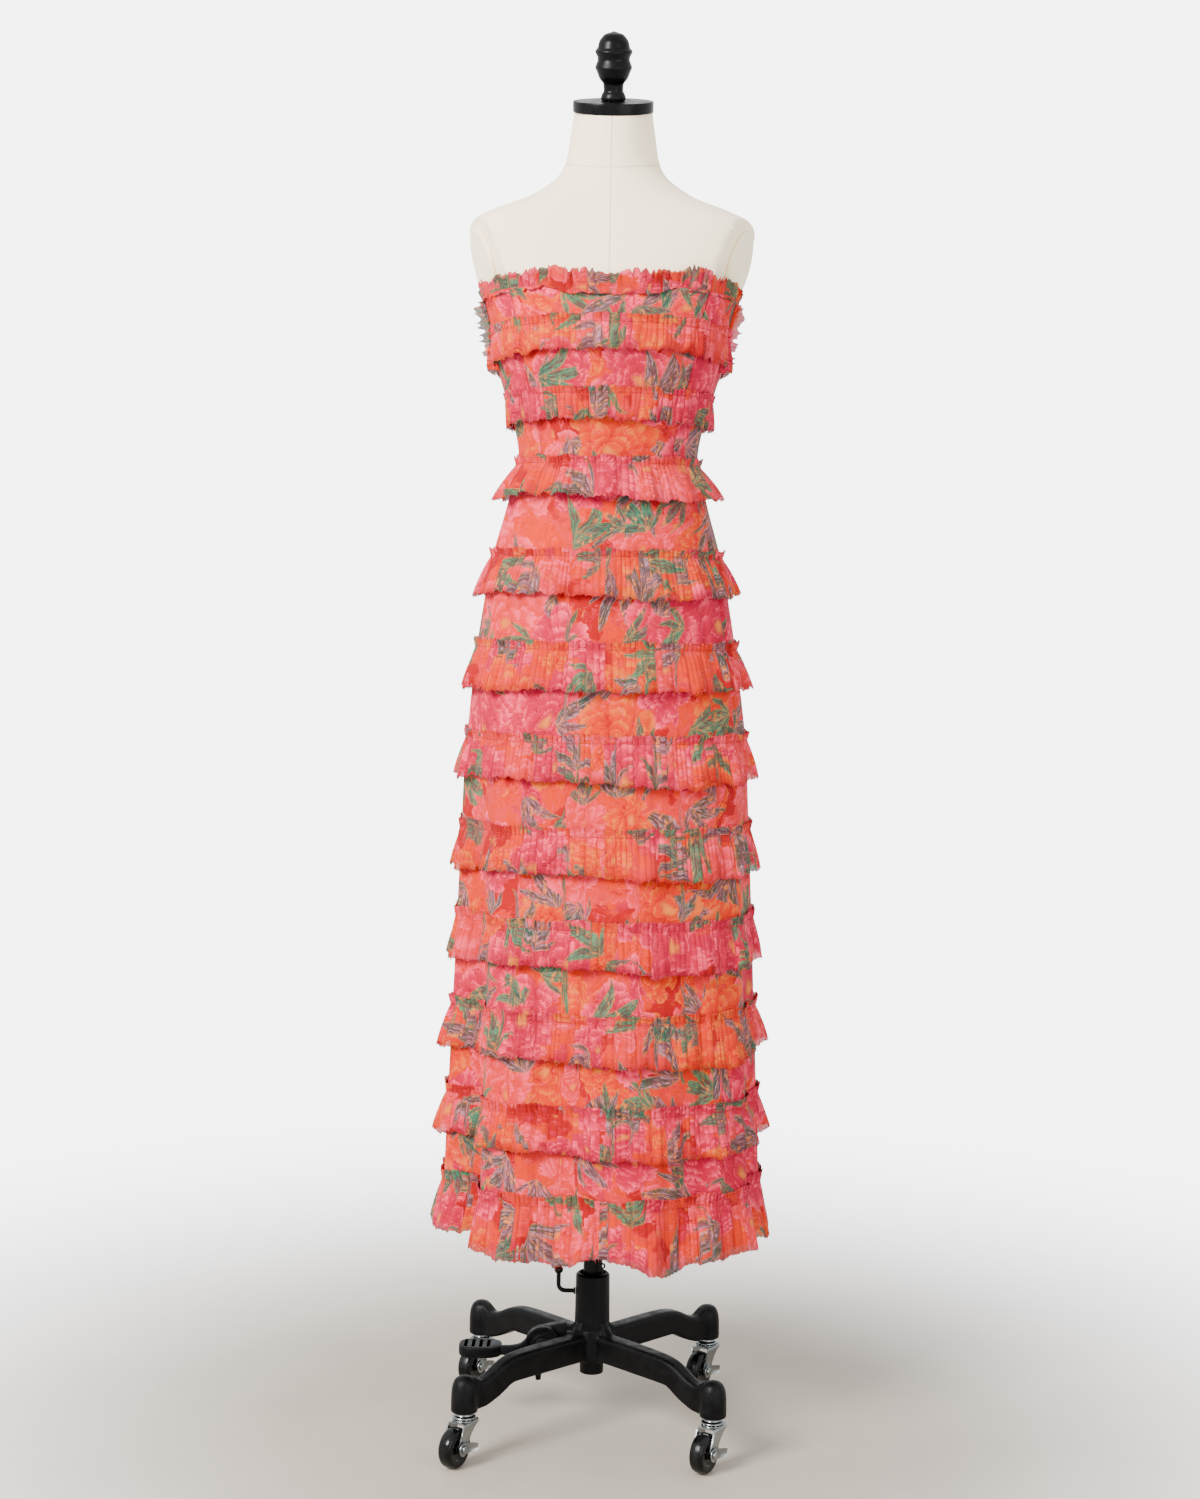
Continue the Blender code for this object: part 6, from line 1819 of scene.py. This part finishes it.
def arm_plate(name, side):
    """A padded oval disc at a shoulder end."""
    normal = Vector((PLATE_NORMAL.x * side, PLATE_NORMAL.y, PLATE_NORMAL.z))
    centre = Vector((BODY_X + PLATE_CENTRE.x * side, PLATE_CENTRE.y, PLATE_CENTRE.z))
    upward = (Vector((0.0, 0.0, 1.0)) - normal * normal.z).normalized()
    across = upward.cross(normal)
    rings = []
    for out, inset in PLATE_STEPS:
        turns = [math.tau * number / 72 for number in range(72)]
        rings.append([centre + normal * (SEAM + out) + upward * (PLATE_HALF_HEIGHT - inset) * math.cos(turn)
                      + across * (PLATE_HALF_WIDTH - inset) * math.sin(turn) for turn in turns])
    piece = closed_rings("linen_" + name, [[tuple(point) for point in ring] for ring in rings],
                         finish_of("linen"))
    ride_with(piece, "form", "linen", name)


# What a user would change


def colour_property(label, use, default):
    return FloatVectorProperty(name=label, description=use, default=default, min=0.0, max=1.0,
                               subtype="COLOR")


def length_property(label, use, default, low, high):
    return FloatProperty(name=label, description=use, default=default, min=low, max=high,
                         subtype="DISTANCE", unit="LENGTH")


def share_property(label, use, default, low, high):
    return FloatProperty(name=label, description=use, default=default, min=low, max=high, subtype="FACTOR")


class PrintSettings(bpy.types.PropertyGroup):
    ground: colour_property("Ground", "Orange between the motifs", (0.50, 0.015, 0.0))
    coral: colour_property("Coral", "Soft coral of ground and petals", (0.50, 0.013, 0.014))
    pink: colour_property("Pink", "Light side of pink petals", (0.38, 0.0, 0.024))
    magenta: colour_property("Magenta", "Deep side of pink petals", (0.20, 0.0, 0.010))
    blush: colour_property("Blush", "Palest tips of petals", (0.80, 0.046, 0.100))
    red: colour_property("Red", "Deep side of red petals", (0.30, 0.0, 0.002))
    leaf: colour_property("Leaf", "Teal of the leaves", (0.007, 0.060, 0.034))
    mint: colour_property("Mint", "Light side of the leaves", (0.020, 0.150, 0.072))
    mauve: colour_property("Mauve", "Mauve-grey of the darker leaves", (0.110, 0.048, 0.058))
    lilac: colour_property("Lilac", "Light side of the mauve leaves", (0.270, 0.130, 0.165))
    straw: colour_property("Straw", "Yellow of hearts and leaf margins", (0.62, 0.150, 0.016))


class ClothSettings(bpy.types.PropertyGroup):
    thickness: length_property("Cloth", "Thickness of the cloth as drawn", 0.0008, 0.0002, 0.002)
    fullness: share_property("Fullness", "Length of a strip over the length it is gathered to",
                             1.5, 1.0, 3.0)
    pleat_pitch: length_property("Crimp pitch", "Distance from one gather to the next",
                                 PLEAT_PITCH, 0.003, 0.02)
    pleat_depth: length_property("Crimp depth", "How far the gathers stand out", 0.0020, 0.0, 0.005)
    pleat_lean: length_property("Crimp lean", "How far the gathers lean over", 0.0011, 0.0, 0.003)
    flute_pitch: length_property("Flute pitch", "Distance from one flute of the hem to the next",
                                 FLUTE_PITCH, 0.01, 0.1)
    flute_depth: length_property("Flute depth", "How far the flutes of the hem stand out",
                                 0.0042, 0.0, 0.01)
    ragged: length_property("Ragged edge", "Unevenness of the cut edges", 0.0016, 0.0, 0.005)
    hem_drift: length_property("Hem drift", "How far a ruffle's hem strays up and down", 0.0032, 0.0, 0.01)
    sheer: share_property("Sheer edge", "How solid the net is at a ruffle's edge", 0.80, 0.0, 1.0)
    pucker: length_property("Pucker", "Small gathers in the panels", 0.0008, 0.0, 0.001)


class StandSettings(bpy.types.PropertyGroup):
    linen: colour_property("Linen", "Cloth of the dress form", (0.96, 0.80, 0.54))
    iron: colour_property("Black iron", "Paint of the stand", (0.0012, 0.0012, 0.0014))
    zinc: colour_property("Zinc", "Plating of the casters", (0.25, 0.27, 0.27))
    floor: colour_property("Floor", "The plain floor", (0.36, 0.31, 0.25))


# One operator for each piece or group of like pieces


class DRESS_OT_panels(bpy.types.Operator):
    """Cuts and sews the bodice and skirt panels"""
    bl_idname = "dress.panels"
    bl_label = "Panels"

    def execute(self, context):
        material = bpy.data.materials[PRINTED_PANEL]
        for panel in BODICE_PANELS:
            panel_piece(panel, BODICE_TOP, BODICE_BOTTOM, BODICE_ROWS, material)
        top, bottom = Line(SKIRT[0].z, 0.0, 0.0), Line(HEM, 0.0, 0.0)
        for panel in SKIRT_PANELS:
            panel_piece(panel, top, bottom, SKIRT_ROWS, material)
        return {"FINISHED"}


class DRESS_OT_ruffles(bpy.types.Operator):
    """Gathers and sews on the twelve ruffle strips"""
    bl_idname = "dress.ruffles"
    bl_label = "Ruffles"

    def execute(self, context):
        dice = random.Random(SEED)
        material = bpy.data.materials[PRINTED_STRIP]
        seams, hems, tops = [], [], []
        for number, row in enumerate(RUFFLES):
            points = ruffle_piece(number, row, dice, material)
            if number:
                seams.append(raised_ring(points[STITCH_ROW], STITCH_OUT, 0.0))
                hems.append(raised_ring(points[-1], 0.0, HEM_END_UP))
            tops.append(raised_ring(points[0], 0.0, HEADING_END_UP))
        for name, side in (("side_frill_right", 1.0), ("side_frill_left", -1.0)):
            side_frill(name, side, dice, material, ["cloth_bodice_side_" + name.split("_")[-1]])
        binding_piece()
        sewing, loose = (bpy.data.materials[name] for name in ("Sewing thread", "Loose thread"))
        stitches, ends = stitch_tree(), loose_thread_tree()
        for name, rings, tree, thread, sizes in (
                ("gathering_stitches", seams, stitches, sewing, {}),
                ("hem_thread_ends", hems, ends, loose, {}),
                ("heading_thread_ends", tops, ends, loose, {"Upwards": 1.0, "Length": 0.0042})):
            ride_with(grown_piece(name, rings, tree, thread, **sizes), "form", "printed_mesh")
        return {"FINISHED"}


class DRESS_OT_form(bpy.types.Operator):
    """Builds the linen dress form"""
    bl_idname = "dress.form"
    bl_label = "Dress form"

    def execute(self, context):
        form = closed_rings("dress_form", form_rings(133, 96), finish_of("linen"))
        ride_with(form, "form", "linen", "form_body")
        arm_plate("arm_plate_right", 1.0)
        arm_plate("arm_plate_left", -1.0)
        return {"FINISHED"}


class DRESS_OT_neck(bpy.types.Operator):
    """Turns the neck cap and its finial"""
    bl_idname = "dress.neck"
    bl_label = "Neck cap and finial"

    def execute(self, context):
        place = Matrix.Translation(CAP_TOP) @ Matrix.Rotation(CAP_LEAN, 4, "X")
        cap = [(0.0, -CAP_THICK), (CAP_RADIUS, -CAP_THICK), (CAP_RADIUS, 0.0), (0.0, 0.0)]
        cap = turned_piece("turned_neck_cap", eased(cap, 0.0016), 96, finish_of("black_wood"), place)
        ride_with(cap, "form", "black_wood", "neck_cap")
        place = place @ Matrix.Translation((0.0, 0.0, SEAM))
        knob = turned_piece("turned_finial", eased(FINIAL, 0.0030), 64, finish_of("black_wood"), place)
        ride_with(knob, "form", "black_wood", "finial")
        return {"FINISHED"}


class DRESS_OT_base(bpy.types.Operator):
    """Casts the base and turns its column, cup and pole"""
    bl_idname = "dress.base"
    bl_label = "Base and column"

    def execute(self, context):
        base_piece()
        column_pieces()
        return {"FINISHED"}


class DRESS_OT_pedal(bpy.types.Operator):
    """Builds the foot pedal on its bracket"""
    bl_idname = "dress.pedal"
    bl_label = "Foot pedal"

    def execute(self, context):
        pedal_pieces()
        return {"FINISHED"}


class DRESS_OT_lever(bpy.types.Operator):
    """Bends the clamp lever and the looped clip"""
    bl_idname = "dress.lever"
    bl_label = "Lever and clip"

    def execute(self, context):
        lever_pieces()
        return {"FINISHED"}


class DRESS_OT_casters(bpy.types.Operator):
    """Builds the four casters"""
    bl_idname = "dress.casters"
    bl_label = "Casters"

    def execute(self, context):
        tree = race_ball_tree()
        for corner, heading in CORNERS.items():
            caster_pieces(corner, heading, tree)
        return {"FINISHED"}


FLOOR_FADE = 0.35
FLOOR_END = 1.9
SOFT_LIGHT = 1.75
BACKDROP_LIGHT = 6.2
CAMERA_PLACE = Vector((0.058, -3.088, 1.125))
CAMERA_ASIDE = -0.0191
CAMERA_DOWN = math.radians(4.28)
CAMERA_ROLL = math.radians(0.86)
FOCAL_PIXELS = 2382.0
IMAGE_HEIGHT = 1499.0
SENSOR = 36.0


class DRESS_OT_stage(bpy.types.Operator):
    """Sets the floor, the light and the camera"""
    bl_idname = "dress.stage"
    bl_label = "Stage"

    def execute(self, context):
        look = context.scene.dress_stand
        material, wires, shader = new_material("Plain floor", Roughness=0.6, Specular_IOR_Level=0.3)
        place = wires.add("ShaderNodeTexCoord").outputs["Object"]
        grain = wires.noise(place, 3.0, 4.0, 0.6)
        tint = wires.mix(wires.rise(grain, 0.35, 0.7, 0.6), (*look.floor, 1.0), (0.30, 0.26, 0.21, 1.0))
        wires.feed(shader["Base Color"], tint)
        far = wires.rise(wires.vector("LENGTH", place), FLOOR_FADE, FLOOR_END)
        wires.feed(shader["Alpha"], wires.minus(1.0, far))
        mesh = bpy.data.meshes.new("floor")
        half = FLOOR_END
        corners = [(-half, -half, 0), (half, -half, 0), (half, half, 0), (-half, half, 0)]
        mesh.from_pydata(corners, [], [(0, 1, 2, 3)])
        link_object("floor", mesh, material)
        world = bpy.data.worlds.new("Studio light")
        context.scene.world = world
        world.use_nodes = True
        sky = Wiring(world.node_tree)
        soft = world.node_tree.nodes["Background"]
        soft.inputs["Color"].default_value = (0.97, 0.98, 1.0, 1.0)
        soft.inputs["Strength"].default_value = SOFT_LIGHT
        plain = sky.add("ShaderNodeBackground", {
            "Color": (0.98, 0.985, 1.0, 1.0), "Strength": BACKDROP_LIGHT})
        seen = sky.add("ShaderNodeLightPath").outputs["Is Camera Ray"]
        both = sky.add("ShaderNodeMixShader", {0: seen, 1: soft.outputs[0], 2: plain.outputs[0]})
        sky.feed(world.node_tree.nodes["World Output"].inputs["Surface"], both.outputs[0])
        for name, place, aim, size, power in (
                ("key", (-2.6, -2.8, 2.9), (0.0, 0.0, 1.0), 1.6, 520.0),
                ("fill", (2.2, -3.0, 1.2), (0.0, 0.0, 0.7), 2.4, 60.0)):
            lamp = bpy.data.lights.new(name, "AREA")
            lamp.shape = "SQUARE"
            lamp.size = size
            lamp.energy = power
            item = bpy.data.objects.new(name, lamp)
            way = Vector(aim) - Vector(place)
            item.matrix_world = Matrix.Translation(place) @ way.to_track_quat("-Z", "Y").to_matrix().to_4x4()
            context.scene.collection.objects.link(item)
        camera = bpy.data.cameras.new("camera")
        camera.sensor_width = SENSOR
        camera.sensor_fit = "AUTO"
        camera.lens = SENSOR * FOCAL_PIXELS / IMAGE_HEIGHT
        item = bpy.data.objects.new("camera", camera)
        ahead = Vector((CAMERA_ASIDE * math.cos(CAMERA_DOWN), math.cos(CAMERA_DOWN), -math.sin(CAMERA_DOWN)))
        ahead.normalize()
        right = ahead.cross(Vector((0.0, 0.0, 1.0))).normalized()
        up = right.cross(ahead)
        across = right * math.cos(CAMERA_ROLL) + up * math.sin(CAMERA_ROLL)
        above = up * math.cos(CAMERA_ROLL) - right * math.sin(CAMERA_ROLL)
        turn = Matrix((across, above, -ahead)).transposed().to_4x4()
        item.matrix_world = Matrix.Translation(CAMERA_PLACE) @ turn
        context.scene.collection.objects.link(item)
        context.scene.camera = item
        return {"FINISHED"}


BUILDERS = (DRESS_OT_stage, DRESS_OT_form, DRESS_OT_neck, DRESS_OT_panels, DRESS_OT_ruffles, DRESS_OT_base,
            DRESS_OT_pedal, DRESS_OT_lever, DRESS_OT_casters)


class DRESS_PT_pieces(bpy.types.Panel):
    """Lists the pieces and what can be changed on them"""
    bl_idname = "DRESS_PT_pieces"
    bl_label = "Ruffle Dress"
    bl_space_type = "VIEW_3D"
    bl_region_type = "UI"
    bl_category = "Ruffle Dress"

    def draw(self, context):
        scene = context.scene
        for settings in (scene.dress_print, scene.dress_cloth, scene.dress_stand):
            box = self.layout.box()
            for name in settings.__annotations__:
                box.prop(settings, name)
        for builder in BUILDERS:
            self.layout.operator(builder.bl_idname)


CLASSES = (PrintSettings, ClothSettings, StandSettings, *BUILDERS, DRESS_PT_pieces)


def register():
    for item in CLASSES:
        bpy.utils.register_class(item)
    bpy.types.Scene.dress_print = PointerProperty(type=PrintSettings)
    bpy.types.Scene.dress_cloth = PointerProperty(type=ClothSettings)
    bpy.types.Scene.dress_stand = PointerProperty(type=StandSettings)


def unregister():
    for name in ("dress_print", "dress_cloth", "dress_stand"):
        delattr(bpy.types.Scene, name)
    for item in reversed(CLASSES):
        bpy.utils.unregister_class(item)


def main():
    register()
    make_materials()
    for builder in BUILDERS:
        group, name = builder.bl_idname.split(".")
        getattr(getattr(bpy.ops, group), name)()


if __name__ == "__main__":
    main()
